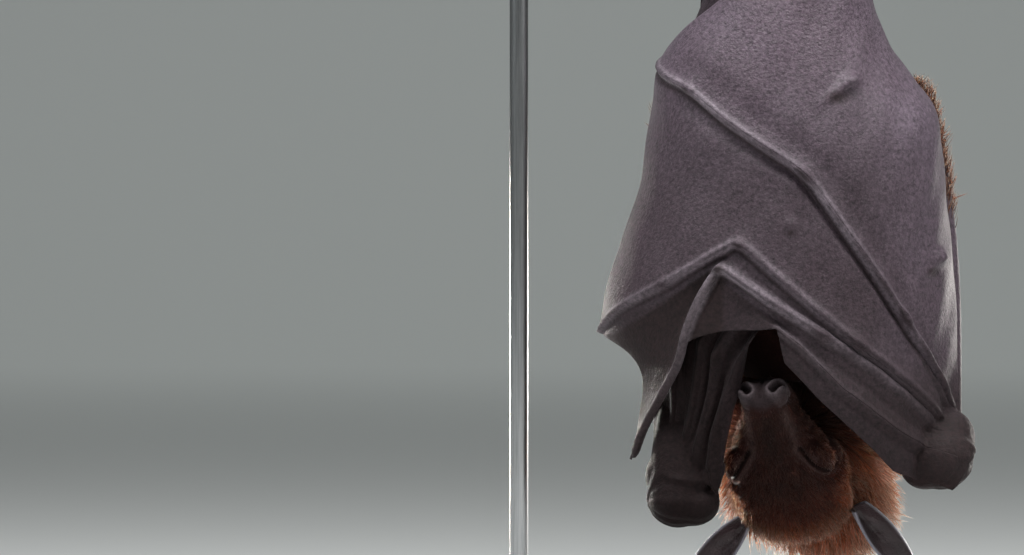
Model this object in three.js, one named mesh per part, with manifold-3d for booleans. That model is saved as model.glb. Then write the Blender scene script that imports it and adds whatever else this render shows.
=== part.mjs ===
// A large fruit bat (an Indian flying fox) asleep, hanging head down from a short cut of branch with
// its wings wrapped round it, on a plain display stand. Millimetres, +Z up. The bat's belly faces -Y
// and its left side is at -X. The origin is the middle of the base's underside.
import * as THREE from "three";
import { mergeVertices } from "three/addons/utils/BufferGeometryUtils.js";
import Module from "manifold-3d";

const wasm = await Module();
wasm.setup();

// ---------------------------------------------------------------- driving dimensions
const GAP = 0.3; // clearance between pieces that touch
const EASE = 0.07; // how far a face may move when its triangles are thinned out
const SHEET = 1.2; // thickness of a wing membrane
const FINGER = 2.1; // radius of a finger bone at its root
const BASE = { width: 300, depth: 170, height: 12, corner: 18, bevel: 1.5 };
const ROD = { radius: 3.5, spread: 104, sides: 16 };
const PERCH = { length: 236, radius: 8.5, y: -7, z: 397 };
const FEET_X = -5; // the feet grip a little to the bat's left of the stand's middle
const ANKLE = { spread: 11, y: 9, z: 374 };
const KNEE = { spread: 20, y: 2, z: 331 };
const HIP = { spread: 15, y: 10, z: 297 };
const TOES = { count: 5, pitch: 4.1, radius: 1.9 };
const NOSE_TIP = new THREE.Vector3(-14.8, -43, 149.5);
const HEAD_LENGTH = 73; // nose to the back of the skull, coat included

// The wings as they wrap the body: at each height the middle, half width, front and back depth.
const COCOON = [
  [94, 0, 57, 41, 24],
  [120, 1, 61.5, 49, 28],
  [144, 0, 61.5, 52, 30],
  [170, -3, 63.5, 51, 32],
  [200, -1.6, 60.6, 48, 32],
  [227, 0, 55, 44, 31],
  [250, -2.6, 49.6, 40, 30],
  [270, -6, 43, 35, 28],
  [292, -4.6, 33.5, 29, 24],
  [325, -5, 25.5, 20, 16],
  [350, -5, 20, 15, 13],
  [378, -5, 16.5, 11, 11],
];

// ---------------------------------------------------------------- curves and helpers
const vec = (x, y, z) => new THREE.Vector3(x, y, z);
const mix = THREE.MathUtils.lerp;
const clamp = THREE.MathUtils.clamp;
const rad = THREE.MathUtils.degToRad;
const bell = (distance, width) => Math.exp(-((distance / width) ** 2));

// A smooth value list at x, from rows of [x, value, value, ...] in rising x.
function smoothAt(rows, x) {
  const last = rows.length - 1;
  const held = clamp(x, rows[0][0], rows[last][0]);
  let i = 0;
  while (i < last - 1 && held > rows[i + 1][0]) i++;
  const [a, b] = [rows[i], rows[i + 1]];
  const [before, after] = [rows[Math.max(i - 1, 0)], rows[Math.min(i + 2, last)]];
  const span = b[0] - a[0];
  const t = (held - a[0]) / span;
  return a.slice(1).map((value, k) => {
    const startSlope = ((b[k + 1] - before[k + 1]) / (b[0] - before[0])) * span;
    const endSlope = ((after[k + 1] - a[k + 1]) / (after[0] - a[0])) * span;
    const t2 = t * t;
    const t3 = t2 * t;
    return (
      value * (2 * t3 - 3 * t2 + 1) +
      b[k + 1] * (3 * t2 - 2 * t3) +
      startSlope * (t3 - 2 * t2 + t) +
      endSlope * (t3 - t2)
    );
  });
}

// A point of the wrapped wings: angle round the body from its front, height, and height off the surface.
function wrap([angle, z, lift = 0]) {
  const [middle, half, front, back] = smoothAt(COCOON, z);
  const depth = Math.cos(rad(angle)) > 0 ? front : back;
  return vec(
    middle + (half + lift) * Math.sin(rad(angle)),
    -(depth + lift) * Math.cos(rad(angle)),
    z,
  );
}

// The same point from where it shows in the front view.
function front(x, z, lift = 0) {
  const [middle, half] = smoothAt(COCOON, z);
  return [THREE.MathUtils.radToDeg(Math.asin(clamp((x - middle) / (half + lift), -1, 1))), z, lift];
}

// The nearest point of the wrapped surface's own numbers to a point in space.
function unwrap(point) {
  const [middle, half, front, back] = smoothAt(COCOON, point.z);
  const depth = point.y < 0 ? front : back;
  let lift = 0;
  let angle = 0;
  for (let i = 0; i < 6; i++) {
    angle = Math.atan2((point.x - middle) / (half + lift), -point.y / (depth + lift));
    const [x, y] = [point.x - middle, point.y];
    const onSurface = wrap([THREE.MathUtils.radToDeg(angle), point.z, 0]);
    lift = Math.hypot(x, y) - Math.hypot(onSurface.x - middle, onSurface.y);
  }
  return [THREE.MathUtils.radToDeg(angle), point.z, lift];
}

// The place at t of a chain of joints, each a list of numbers; every bone takes an equal share of t.
function along(joints, t) {
  const reach = clamp(t, 0, 1) * (joints.length - 1);
  const i = Math.min(Math.floor(reach), joints.length - 2);
  return joints[i].map((value, k) => mix(value, joints[i + 1][k], reach - i));
}

// A geometry as a solid, its faces turned outwards.
function solidOf(geometry) {
  const bare = geometry.clone();
  for (const name of ["normal", "uv"]) bare.deleteAttribute(name);
  const merged = mergeVertices(bare, 1e-3);
  const make = (triVerts) =>
    new wasm.Manifold(
      new wasm.Mesh({ numProp: 3, vertProperties: merged.attributes.position.array, triVerts }),
    );
  const corners = new Uint32Array(merged.index.array);
  const made = make(corners);
  return made.volume() > 0 ? made : make(corners.reverse());
}

// A three.js primitive whose points are moved by `place`, as a solid.
function shaped(geometry, place) {
  const at = geometry.attributes.position;
  const v = vec(0, 0, 0);
  for (let i = 0; i < at.count; i++) {
    v.fromBufferAttribute(at, i);
    const moved = place(v.clone());
    at.setXYZ(i, moved.x, moved.y, moved.z);
  }
  return solidOf(geometry);
}

// A limb, toe or neck: an oval section carried along a smooth curve. Each stop is [point, half width,
// half depth]; the width lies along `side`.
function limb(stops, { sides = 10, rings = 8, side = vec(1, 0, 0), grow = 0 } = {}) {
  const curve = new THREE.CatmullRomCurve3(stops.map(([point]) => point));
  const sizes = stops.map(([, width, depth = width], i) => [i / (stops.length - 1), width, depth]);
  return shaped(new THREE.CylinderGeometry(1, 1, 1, sides, rings), (v) => {
    const t = v.y + 0.5;
    const tangent = curve.getTangent(t);
    const across = side.clone().addScaledVector(tangent, -side.dot(tangent)).normalize();
    const out = tangent.clone().cross(across);
    const [width, depth] = smoothAt(sizes, t);
    const end = t < 1e-6 ? -grow : t > 1 - 1e-6 ? grow : 0;
    return curve
      .getPoint(t)
      .addScaledVector(across, v.x * (width + grow))
      .addScaledVector(out, v.z * (depth + grow))
      .addScaledVector(tangent, end);
  });
}

// A flat box of small squares whose two large walls are split along the same diagonals, so that a
// thin sheet bent from it never passes through itself.
function slab(lengthwise, across) {
  const box = new THREE.BoxGeometry(1, 1, 1, lengthwise, across, 1);
  const at = box.attributes.position;
  for (let i = 0; i < box.index.count; i += 6) {
    const [a, b, d, , c] = Array.from({ length: 6 }, (_, k) => box.index.getX(i + k));
    const below = [a, b, c, d].every((corner) => at.getZ(corner) < 0);
    if (below) [a, b, c, a, c, d].forEach((corner, k) => box.index.setX(i + k, corner));
  }
  return box;
}

// A sheet of even thickness over place(t, u), both from 0 to 1, or a little past with a margin.
function sheet(place, { lengthwise = 14, across = 6, thick = SHEET, margin = 0 } = {}) {
  const step = 0.01;
  return shaped(slab(lengthwise, across), (v) => {
    const [t, u] = [v.x, v.y].map((at) => at + 0.5 + (Math.abs(at) > 0.499 ? Math.sign(at) * margin : 0));
    const t0 = clamp(t, step, 1 - step);
    const u0 = clamp(u, step, 1 - step);
    const run = place(t0 + step, u0).sub(place(t0 - step, u0));
    const breadth = place(t0, u0 + step).sub(place(t0, u0 - step));
    const normal = run.cross(breadth).normalize();
    return place(t, u).addScaledVector(normal, v.z * thick);
  });
}

function egg(centre, radii, { turn = new THREE.Euler(), sides = 12, rings = 8, grow = 0 } = {}) {
  return shaped(new THREE.SphereGeometry(1, sides, rings), (v) =>
    v.multiply(vec(radii[0] + grow, radii[1] + grow, radii[2] + grow)).applyEuler(turn).add(centre),
  );
}

function largest(solid) {
  return solid.decompose().sort((a, b) => b.volume() - a.volume())[0];
}

// What is left of a solid when its neighbours are cut from it: the largest piece.
function cutBy(solid, ...others) {
  const left = others.reduce((rest, other) => rest.subtract(other), solid);
  return largest(left);
}

const skinTone = (color, roughness) =>
  new THREE.MeshStandardMaterial({ color, roughness, metalness: 0 });
const materials = {
  membrane: skinTone(0x5c5058, 0.55),
  coat: skinTone(0x2c1c16, 0.9),
  mantle: skinTone(0x8a4a26, 0.9),
  face: skinTone(0x2a1e1c, 0.8),
  bareSkin: skinTone(0x2e2628, 0.6),
  claw: skinTone(0x1c1817, 0.35),
  bark: skinTone(0x6e5348, 0.9),
  base: skinTone(0x3a302a, 0.5),
  rod: new THREE.MeshStandardMaterial({ color: 0x9a9c9e, roughness: 0.3, metalness: 1 }),
};

const bat = new THREE.Group();

function add(name, whole, material, ease = EASE) {
  const solid = largest(whole.simplify(ease));
  const { vertProperties, triVerts, numProp, numVert } = solid.getMesh();
  const points = new Float32Array(numVert * 3);
  for (let i = 0; i < numVert; i++) {
    points.set(vertProperties.subarray(i * numProp, i * numProp + 3), i * 3);
  }
  const geometry = new THREE.BufferGeometry()
    .setAttribute("position", new THREE.BufferAttribute(points, 3))
    .setIndex(new THREE.BufferAttribute(triVerts, 1));
  const mesh = new THREE.Mesh(geometry, material);
  mesh.name = name;
  bat.add(mesh);
  return solid;
}

const SIDES = [
  { name: "left", sign: -1 },
  { name: "right", sign: 1 },
];

// ---------------------------------------------------------------- stand and perch
const perchPoint = (x) => vec(x, PERCH.y, PERCH.z + 1.2 * Math.sin(x / 31) - 0.6);
const perchRadius = (x) => PERCH.radius * (1 - x / 2200);

function perch(grow = 0) {
  const rings = 8;
  return shaped(new THREE.CylinderGeometry(1, 1, 1, 14, rings), (v) => {
    const x = -v.y * (PERCH.length + 2 * grow);
    const radius = perchRadius(x) + grow;
    return perchPoint(x).add(vec(0, v.x * radius, v.z * radius));
  });
}

function stand() {
  const { width, depth, height, corner, bevel } = BASE;
  const outline = new THREE.Shape();
  const [w, d] = [width / 2 - bevel, depth / 2 - bevel];
  const round = corner - bevel;
  outline.absarc(w - round, d - round, round, 0, Math.PI / 2);
  outline.absarc(-w + round, d - round, round, Math.PI / 2, Math.PI);
  outline.absarc(-w + round, -d + round, round, Math.PI, 1.5 * Math.PI);
  outline.absarc(w - round, -d + round, round, 1.5 * Math.PI, 2 * Math.PI);
  const plate = new THREE.ExtrudeGeometry(outline, {
    depth: height - 2 * bevel,
    bevelSize: bevel,
    bevelThickness: bevel,
    bevelSegments: 1,
    curveSegments: 3,
  });
  plate.translate(0, 0, bevel);
  add("stand_base", solidOf(plate), materials.base);

  for (const { name, sign } of SIDES) {
    const x = sign * ROD.spread;
    const top = perchPoint(x).z;
    const bottom = height + GAP;
    const rod = new THREE.CylinderGeometry(ROD.radius, ROD.radius, top - bottom, ROD.sides);
    rod.rotateX(Math.PI / 2).translate(x, PERCH.y, (top + bottom) / 2);
    add(`stand_rod_${name}`, cutBy(solidOf(rod), perch(GAP)), materials.rod);
  }
  add("perch", perch(), materials.bark);
}

// ---------------------------------------------------------------- head
// The head's own directions: `ahead` to the nose, `lateral` to its left cheek's far side, `crown` up.
const ahead = vec(-0.25, -0.61, 0.75).normalize();
const HEAD_ROLL = 7.8; // degrees the head leans about its own length
const lateral = vec(-ahead.y, ahead.x, 0).normalize().applyAxisAngle(ahead, rad(HEAD_ROLL));
const crown = lateral.clone().cross(ahead).normalize();

// A point of the head: distance behind the nose tip, to the side, and towards the crown.
const onHead = (behind, aside, up) =>
  NOSE_TIP.clone()
    .addScaledVector(ahead, -behind)
    .addScaledVector(lateral, aside)
    .addScaledVector(crown, up);

// The head's outline, coat included: share behind the nose, half width, height above and below its axis.
const HEAD = [
  [0, 6, 4.2, 6.2],
  [0.03, 8.2, 6, 8.8],
  [0.1, 9.3, 6.8, 10.2],
  [0.17, 10.8, 7.4, 10.6],
  [0.29, 15.4, 8.8, 11],
  [0.43, 20.4, 11.6, 13],
  [0.58, 24.6, 15.6, 15.6],
  [0.72, 25.4, 18.4, 18],
  [0.86, 24, 17.8, 18.6],
  [0.95, 17.4, 13.4, 15],
  [1, 11.5, 8.5, 10],
];

function skull(grow = 0) {
  return shaped(new THREE.CylinderGeometry(1, 1, 1, 14, 11), (v) => {
    const t = v.y + 0.5;
    const [half, above, below] = smoothAt(HEAD, t);
    const height = v.z > 0 ? above : below;
    const end = t < 1e-6 ? -grow : t > 1 - 1e-6 ? grow : 0;
    return onHead(t * HEAD_LENGTH + end, v.x * (half + grow), v.z * (height + grow));
  });
}

function block(behind, aside, up, size, tilt = 0) {
  const turn = new THREE.Matrix4().makeBasis(ahead, lateral, crown);
  return shaped(new THREE.BoxGeometry(...size), (v) =>
    v.applyEuler(new THREE.Euler(0, tilt, 0)).applyMatrix4(turn).add(onHead(behind, aside, up)),
  );
}

const EYE = { behind: 34, aside: 15.2, up: 6.4, radius: 5.4 };

function eyelid(sign, grow = 0) {
  const radii = [EYE.radius, EYE.radius, EYE.radius];
  return egg(onHead(EYE.behind, sign * EYE.aside, EYE.up), radii, { sides: 10, rings: 6, grow });
}

// The closed lids meet in a slit that falls away from the nose.
function lidSlit(sign) {
  const centre = onHead(EYE.behind, sign * EYE.aside, EYE.up);
  const out = lateral.clone().multiplyScalar(sign * 0.72).addScaledVector(crown, 0.7).normalize();
  const length = ahead.clone().multiplyScalar(-0.8).addScaledVector(lateral, sign * 0.35);
  const run = length.addScaledVector(out, -length.dot(out)).normalize();
  const basis = new THREE.Matrix4().makeBasis(run, out, run.clone().cross(out));
  return shaped(new THREE.BoxGeometry(9, 2.4, 0.5), (v) =>
    v.applyMatrix4(basis).add(centre).addScaledVector(out, EYE.radius),
  );
}

// An ear: a pointed leaf, cupped towards the front and the side.
const EAR = { length: 38, width: 16.5, cup: 4.5 };
const EARS = {
  left: { sign: -1, root: onHead(67, -22.5, 3), tipwards: vec(-0.62, 0.22, -0.75) },
  right: { sign: 1, root: onHead(64, 25, 3), tipwards: vec(0.6, 0.25, -0.76) },
};

function ear({ sign, root, tipwards }) {
  const tip = tipwards.clone().normalize();
  const facing = vec(sign * 0.55, -0.83, 0);
  facing.addScaledVector(tip, -facing.dot(tip)).normalize();
  const breadth = tip.clone().cross(facing);
  const leaf = (t, u) => {
    const width = EAR.width * Math.sin(Math.PI * (0.24 + 0.74 * t)) ** 0.8;
    const v = 2 * u - 1;
    const hollow = EAR.cup * (1 - v * v) * (1 - 0.6 * t);
    return root
      .clone()
      .addScaledVector(tip, t * EAR.length)
      .addScaledVector(breadth, (v * width) / 2)
      .addScaledVector(facing, 3 * t * t - hollow);
  };
  return sheet(leaf, { lengthwise: 7, across: 4, thick: 1.3 });
}

function head() {
  const lids = SIDES.map(({ sign }) => eyelid(sign, GAP));
  const noseCut = 4.6; // how far back the bare nose pad reaches
  const whole = skull().subtract(lids[0]).subtract(lids[1]);

  const pad = block(noseCut / 2 - 1, 0, 0, [noseCut + 2, 30, 30]);
  const nostrils = SIDES.map(({ sign }) =>
    egg(onHead(0.8, sign * 3.9, 0.4), [1.9, 2.4, 1.5], { sides: 6, rings: 5 }),
  );
  add("nose", cutBy(whole.intersect(pad), ...nostrils), materials.face);

  const jawBox = block(noseCut + 15, 0, -13.4, [29, 40, 18], 0.06);
  const jawGrown = block(noseCut + 15, 0, -13.4, [29 + 2 * GAP, 40, 18 + 2 * GAP], 0.06);
  const padGrown = block(noseCut / 2 - 1, 0, 0, [noseCut + 2 + 2 * GAP, 30, 30]);
  add("lower_jaw", cutBy(whole.intersect(jawBox), padGrown), materials.face);
  const rest = cutBy(whole, padGrown, jawGrown);
  add("head", rest, materials.face);

  for (const { name, sign } of SIDES) {
    add(`eyelid_${name}`, cutBy(eyelid(sign), lidSlit(sign)), materials.face);
    add(`ear_${name}`, cutBy(ear(EARS[name]), skull(GAP), neck(GAP)), materials.bareSkin);
  }
}

// ---------------------------------------------------------------- neck, trunk and legs
function trunk(grow = 0) {
  return limb(
    [
      [vec(-4, 10, 314), 13, 9],
      [vec(-4, 10, 305), 25, 19],
      [vec(-3, 10, 280), 31, 26],
      [vec(-1, 9, 245), 35, 31],
      [vec(1, 8, 205), 39, 35],
      [vec(2, 9, 170), 40, 35],
      [vec(2, 12, 148), 34, 28],
    ],
    { sides: 14, rings: 8, grow },
  );
}

function neck(grow = 0) {
  return limb(
    [
      [vec(2, 12, 156), 33, 27],
      [vec(3, 13, 140), 34, 27],
      [vec(4.5, 13, 122), 35.5, 26],
      [vec(5.5, 11, 108), 36.5, 24],
      [vec(5, 8, 96), 32, 20],
      [vec(4, 6, 87), 17, 11],
    ],
    { sides: 14, rings: 6, grow },
  );
}

const legPoint = (joint, sign) => vec(FEET_X + sign * joint.spread, joint.y, joint.z);

function thigh(sign, grow = 0) {
  return limb(
    [
      [legPoint(HIP, sign), 9, 9],
      [legPoint(HIP, sign).lerp(legPoint(KNEE, sign), 0.5), 8.5, 8],
      [legPoint(KNEE, sign).add(vec(0, 0, 3)), 6, 5.5],
    ],
    { sides: 8, rings: 4, grow },
  );
}

function shin(sign, grow = 0) {
  return limb(
    [
      [legPoint(KNEE, sign).add(vec(0, 0, -2)), 6.2, 5.8],
      [legPoint(KNEE, sign).lerp(legPoint(ANKLE, sign), 0.5), 5.4, 5],
      [legPoint(ANKLE, sign), 4.4, 4],
    ],
    { sides: 8, rings: 4, grow },
  );
}

// A foot: the sole behind the perch, and five toes with hooked claws that go over its top.
function foot(sign) {
  const ankle = legPoint(ANKLE, sign);
  const sole = limb(
    [
      [ankle.clone().add(vec(0, 0, 0.6)), 4.6, 3.8],
      [ankle.clone().add(vec(0, -0.6, 9)), 7, 3.4],
      [ankle.clone().add(vec(0, -3.4, 18)), 9.4, 2.4],
      [ankle.clone().add(vec(0, -4.6, 23)), 9.8, 1.9],
    ],
    { sides: 8, rings: 3 },
  );
  const reach = PERCH.radius + TOES.radius + 0.8;
  const [start, clawRoot, tip] = [-8, 98, 186]; // degrees round the perch, from its back
  const toes = Array.from({ length: TOES.count }, (_, i) => {
    const x = ankle.x + (i - (TOES.count - 1) / 2) * TOES.pitch;
    const stops = Array.from({ length: 7 }, (_, k) => {
      const angle = mix(start, tip, k / 6);
      const clawShare = clamp((angle - clawRoot) / (tip - clawRoot), 0, 1);
      const out = reach + 2.4 * Math.sin(Math.PI * clawShare);
      const centre = perchPoint(x);
      const point = vec(x, centre.y + out * Math.cos(rad(angle)), centre.z + out * Math.sin(rad(angle)));
      const radius = clawShare > 0 ? mix(1.7, 0.35, clawShare) : TOES.radius;
      return [point, radius, radius];
    });
    return limb(stops, { sides: 4, rings: 6 });
  });
  const joined = toes.reduce((whole, toe) => whole.add(toe), sole);
  return cutBy(joined, perch(GAP), shin(sign, GAP));
}

function body() {
  add("trunk", trunk(), materials.coat);
  add("neck", cutBy(neck(), trunk(GAP), skull(GAP)), materials.mantle);
  for (const { name, sign } of SIDES) {
    add(`thigh_${name}`, cutBy(thigh(sign), trunk(GAP)), materials.coat);
    add(`shin_${name}`, cutBy(shin(sign), thigh(sign, GAP)), materials.coat);
    add(`foot_${name}`, foot(sign), materials.bareSkin, 0.12);
  }
}

// ---------------------------------------------------------------- wings
// Each finger is a chain of joints from wrist to tip. The right wing lies outside, the left one under it.
const UNDER = -5.6; // how far the left wing lies beneath the right one's surface
const RIGHT = {
  name: "right",
  sign: 1,
  shoulder: vec(27, 22, 156),
  elbow: vec(46.5, 18, 262),
  wrist: vec(57, -18, 125),
  bow: 5.5,
  rump: 1, // how far the skin stands off beside the rump
  lobe: { centre: vec(53.5, -25, 121.5), radii: [13, 14, 13] },
  fingers: {
    5: [front(60, 131), front(38.3, 174.3, 2), front(1.5, 228, 3.5), front(-41, 260.4, 4), [-94, 272, 1]],
    4: [front(58, 129), front(20.4, 165.1, 2), front(-23, 203.2, 2.5), front(-50, 187, 3), [-90, 169, 7]],
    3: [front(56, 127), front(7.2, 168.8, 1.5), front(-30.7, 194.3, 2), front(-47.7, 157.5, 2), [-84, 123, 2]],
    2: [front(53, 120), front(34.6, 133.3, 1), front(14.5, 148.5, 1), front(0, 163.5, 1.5), front(-9, 170.6, 2)],
  },
  lead: [front(50, 111), front(34, 118, -1), front(17.4, 134.4, -1.5), front(6.3, 144.7, -2), front(-6, 158, -2)],
  innerWebEnd: 0.7,
};
const LEFT = {
  name: "left",
  sign: -1,
  shoulder: vec(-23, 22, 156),
  elbow: vec(-44.5, 16, 256),
  wrist: vec(-48, -20, 112),
  bow: 4,
  rump: -3,
  lobe: { centre: vec(-44.5, -25, 107.5), radii: [13, 13.5, 12.5] },
  fingers: {
    5: [[-60, 118, UNDER], [-47, 174, UNDER], front(-24, 231.7, UNDER), front(18.5, 262, UNDER), [72, 277, UNDER]],
    4: [[-54, 116, UNDER], [-35, 165, UNDER], front(-3.7, 212.5, UNDER), front(26, 206, UNDER), front(50, 197, UNDER)],
    3: [[-48, 114, UNDER], [-30, 160, UNDER], front(-1, 203, UNDER), front(20, 180, UNDER), front(44, 152, UNDER)],
    2: [[-37, 112, UNDER], front(-32, 130, UNDER), front(-27.5, 145, UNDER), front(-23.5, 157, UNDER), front(-17, 168, UNDER)],
  },
  lead: [
    front(-31, 104, UNDER),
    front(-28.9, 120, UNDER - 1),
    front(-24.8, 140, UNDER - 2),
    front(-21, 155, UNDER - 3),
    front(-13, 167, UNDER - 4),
  ],
  innerWebEnd: 0.6,
};
const DIGITS = ["5", "4", "3", "2"];
const ROWS = 8; // steps along every finger and membrane
const FIRST_ROW = 1 / ROWS;

function upperArm(wing, grow = 0) {
  return limb(
    [
      [wing.shoulder, 9.5, 8.5],
      [wing.shoulder.clone().lerp(wing.elbow, 0.5), 8.5, 8],
      [wing.elbow, 6.4, 6.2],
    ],
    { sides: 8, rings: 4, grow },
  );
}

// The forearm bows outwards a little between elbow and wrist.
const forearmPoint = (wing, t) =>
  wing.elbow
    .clone()
    .lerp(wing.wrist, t)
    .add(vec(wing.sign * wing.bow * Math.sin(Math.PI * clamp(t, 0, 1)), 0, 0));

function forearm(wing, grow = 0) {
  return limb(
    [
      [forearmPoint(wing, -0.03), 6, 6],
      [forearmPoint(wing, 0.25), 6.6, 6.6],
      [forearmPoint(wing, 0.55), 5.2, 5.2],
      [forearmPoint(wing, 1), 5, 5],
    ],
    { sides: 9, rings: 5, grow },
  );
}

const wristLobe = (wing, grow = 0) => egg(wing.lobe.centre, wing.lobe.radii, { sides: 11, rings: 7, grow });

// The thumb is tucked back along the wrist, its claw hooked upwards.
function thumb(wing, grow = 0) {
  const start = wing.lobe.centre;
  const s = wing.sign;
  return limb(
    [
      [start.clone().add(vec(s * 4, 9, -5)), 3, 3],
      [start.clone().add(vec(s * 5, 18, -4)), 2.6, 2.6],
      [start.clone().add(vec(s * 5, 27, 0)), 2.2, 2.2],
    ],
    { sides: 8, rings: 3, grow },
  );
}

function thumbClaw(wing) {
  const start = wing.lobe.centre;
  const s = wing.sign;
  return limb(
    [
      [start.clone().add(vec(s * 5, 27.6, 0.4)), 1.9, 1.9],
      [start.clone().add(vec(s * 4.4, 32, 3.4)), 1.5, 1.5],
      [start.clone().add(vec(s * 3.4, 33, 8.4)), 0.4, 0.4],
    ],
    { sides: 6, rings: 4 },
  );
}

const boneRadius = (t) => mix(FINGER, 1, t);

function finger(wing, digit, grow = 0) {
  const chain = wing.fingers[digit];
  return shaped(new THREE.CylinderGeometry(1, 1, 1, 6, ROWS), (v) => {
    const t = v.y + 0.5;
    const here = wrap(along(chain, t));
    const tangent = wrap(along(chain, t + 0.04)).sub(wrap(along(chain, t - 0.04))).normalize();
    const out = vec(here.x, here.y, 0).normalize();
    const across = tangent.clone().cross(out).normalize();
    const radius = boneRadius(t) + grow;
    const end = t < 1e-6 ? -grow : t > 1 - 1e-6 ? grow : 0;
    return here
      .addScaledVector(across, v.x * radius)
      .addScaledVector(across.cross(tangent), v.z * radius)
      .addScaledVector(tangent, end);
  });
}

// The skin between two chains, clear of each by a margin: it sags between them and its free edge is
// scalloped. `reach` is how far along each chain it goes.
function web(from, to, { sag = 1, scallop = 0.1, reach = [1, 1], clear = [true, true], start = 0.06 }) {
  const slope = (chain, t) => wrap(along(chain, t + 0.03)).sub(wrap(along(chain, t - 0.03))).normalize();
  return (t, u) => {
    const dip = Math.sin(Math.PI * u);
    const early = start < FIRST_ROW && t < FIRST_ROW;
    const late = start < FIRST_ROW ? t : mix(start, 1, t);
    const reached = early ? mix(start, FIRST_ROW, t / FIRST_ROW) : late;
    const run = reached * (1 - scallop * dip * t * t);
    const places = [Math.min(run * reach[0], 1), run * reach[1]];
    const a = along(from, places[0]);
    const b = along(to, places[1]);
    const apart = wrap(b).sub(wrap(a));
    const [near, far] = [from, to].map((chain, i) => {
      const slant = Math.max(0.35, slope(chain, places[i]).cross(apart).length() / apart.length());
      return clear[i] ? Math.min((boneRadius(places[i]) + GAP + 0.15) / slant / apart.length(), 0.42) : 0;
    });
    const share = mix(near, 1 - far, u);
    const point = a.map((value, k) => mix(value, b[k], share));
    point[2] -= sag * dip * Math.sin((Math.PI / 2) * Math.min(1, run * 1.3));
    return wrap(point);
  };
}

function wing(wing) {
  const s = wing.sign;
  const { fingers } = wing;
  const bones = [upperArm(wing, GAP), forearm(wing, GAP), wristLobe(wing, GAP), thumb(wing, GAP)];
  const grown = DIGITS.map((digit) => finger(wing, digit, GAP));
  const torso = [trunk(GAP), neck(GAP), skull(GAP)];
  const legs = SIDES.flatMap(({ sign }) => [thigh(sign, GAP), shin(sign, GAP)]);

  add(`upper_arm_${wing.name}`, cutBy(upperArm(wing), ...torso), materials.coat);
  add(`forearm_${wing.name}`, cutBy(forearm(wing), upperArm(wing, GAP)), materials.coat);
  add(`wrist_${wing.name}`, cutBy(wristLobe(wing), forearm(wing, GAP), ...torso), materials.membrane);
  add(`thumb_${wing.name}`, cutBy(thumb(wing), wristLobe(wing, GAP), forearm(wing, GAP)), materials.bareSkin);
  add(`thumb_claw_${wing.name}`, cutBy(thumbClaw(wing), thumb(wing, GAP)), materials.claw);
  DIGITS.forEach((digit, i) => {
    const solid = cutBy(finger(wing, digit), ...grown.slice(0, i), ...bones, ...torso);
    add(`finger_${digit}_${wing.name}`, solid, materials.membrane);
  });

  // The arm's skin runs from the fifth finger to the front of the forearm, the elbow and the ankle.
  const foreEdge = (t) => unwrap(forearmPoint(wing, t).add(vec(s * 2, -6.6, 0)));
  const armEdge = [
    ...[0.97, 0.735, 0.5, 0.26, 0.02].map(foreEdge),
    [s * 108, 283, wing.rump],
    [s * 104, 305, wing.rump],
    [s * 97, 333, 4],
    [s * 75, 370, 1.5],
  ];
  const skins = {
    arm_membrane: [web(fingers[5], armEdge, { sag: 0.5, scallop: 0.05, clear: [true, false] }), 6],
    hand_membrane_outer: [web(fingers[4], fingers[5], { sag: 0.8, scallop: 0.04 }), 4],
    hand_membrane_middle: [web(fingers[3], fingers[4], { sag: 1.2, scallop: 0.12, start: 0.25 }), 3, 6],
    hand_membrane_inner: [web(fingers[2], fingers[3], { scallop: 0.04, reach: [1.25, wing.innerWebEnd], start: 0.09 }), 3],
    leading_membrane: [web(fingers[2], wing.lead, { sag: -1, scallop: 0, clear: [true, false] }), 2],
  };
  // Behind the elbow the skin goes on to the flank and the leg.
  const flankLine = new THREE.CatmullRomCurve3([
    wing.shoulder.clone().add(vec(s * 9, 8, 8)),
    vec(s * 40, 22, 205),
    vec(s * 35 - 3, 18, 250),
    vec(s * 31 - 4, 15, 290),
    vec(s * 28 - 5, 6, 331),
    vec(s * 20 - 5, 8, 364),
  ]);
  const flankSkin = (t, u) => {
    const outer = wrap(along(armEdge, mix(0.53, 0.98, t)));
    outer.lerp(wing.elbow.clone().add(vec(s * 2, 8, 0)), 1 - clamp(t * 3, 0, 1));
    const inner = flankLine.getPoint(mix(0.12, 1, t));
    const bulge = Math.min(2.5, 0.1 * outer.distanceTo(inner));
    return outer.lerp(inner, mix(0.03, 1, u)).add(vec(0, bulge * Math.sin(Math.PI * u), 0));
  };
  skins.flank_membrane = [flankSkin, 3];
  // In the bend of the arm a narrow skin joins shoulder, forearm and wrist.
  const bendSkin = (t, u) => {
    const back = wing.shoulder.clone().lerp(wing.elbow, mix(0.1, 0.9, t)).add(vec(s * 7, -3, 0));
    const fore = forearmPoint(wing, 1 - mix(0.1, 0.9, t)).add(vec(s * -2, 5, 0));
    return back.lerp(fore, u);
  };
  skins.bend_membrane = [bendSkin, 2];

  const made = [];
  for (const [name, [place, across, lengthwise = ROWS]] of Object.entries(skins)) {
    const grid = { lengthwise, across };
    const others = [...bones, ...grown, ...torso, ...legs, ...made];
    add(`${name}_${wing.name}`, cutBy(sheet(place, grid), ...others), materials.membrane);
    made.push(sheet(place, { ...grid, thick: SHEET + 4 * GAP, margin: 0.008 }));
  }
}

stand();
body();
head();
wing(RIGHT);
wing(LEFT);

export default bat;
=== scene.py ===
# %% [markdown]
# # A fruit bat asleep
# A large fruit bat, an Indian flying fox, hangs head down from a cut branch with its wings wrapped
# round it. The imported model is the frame: it holds the sizes and the places of every part. This
# lesson dresses it: smooth leathery wings, one skin for head and body, and a coat of mesh tufts.

# %% Load the frame
import math

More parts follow.
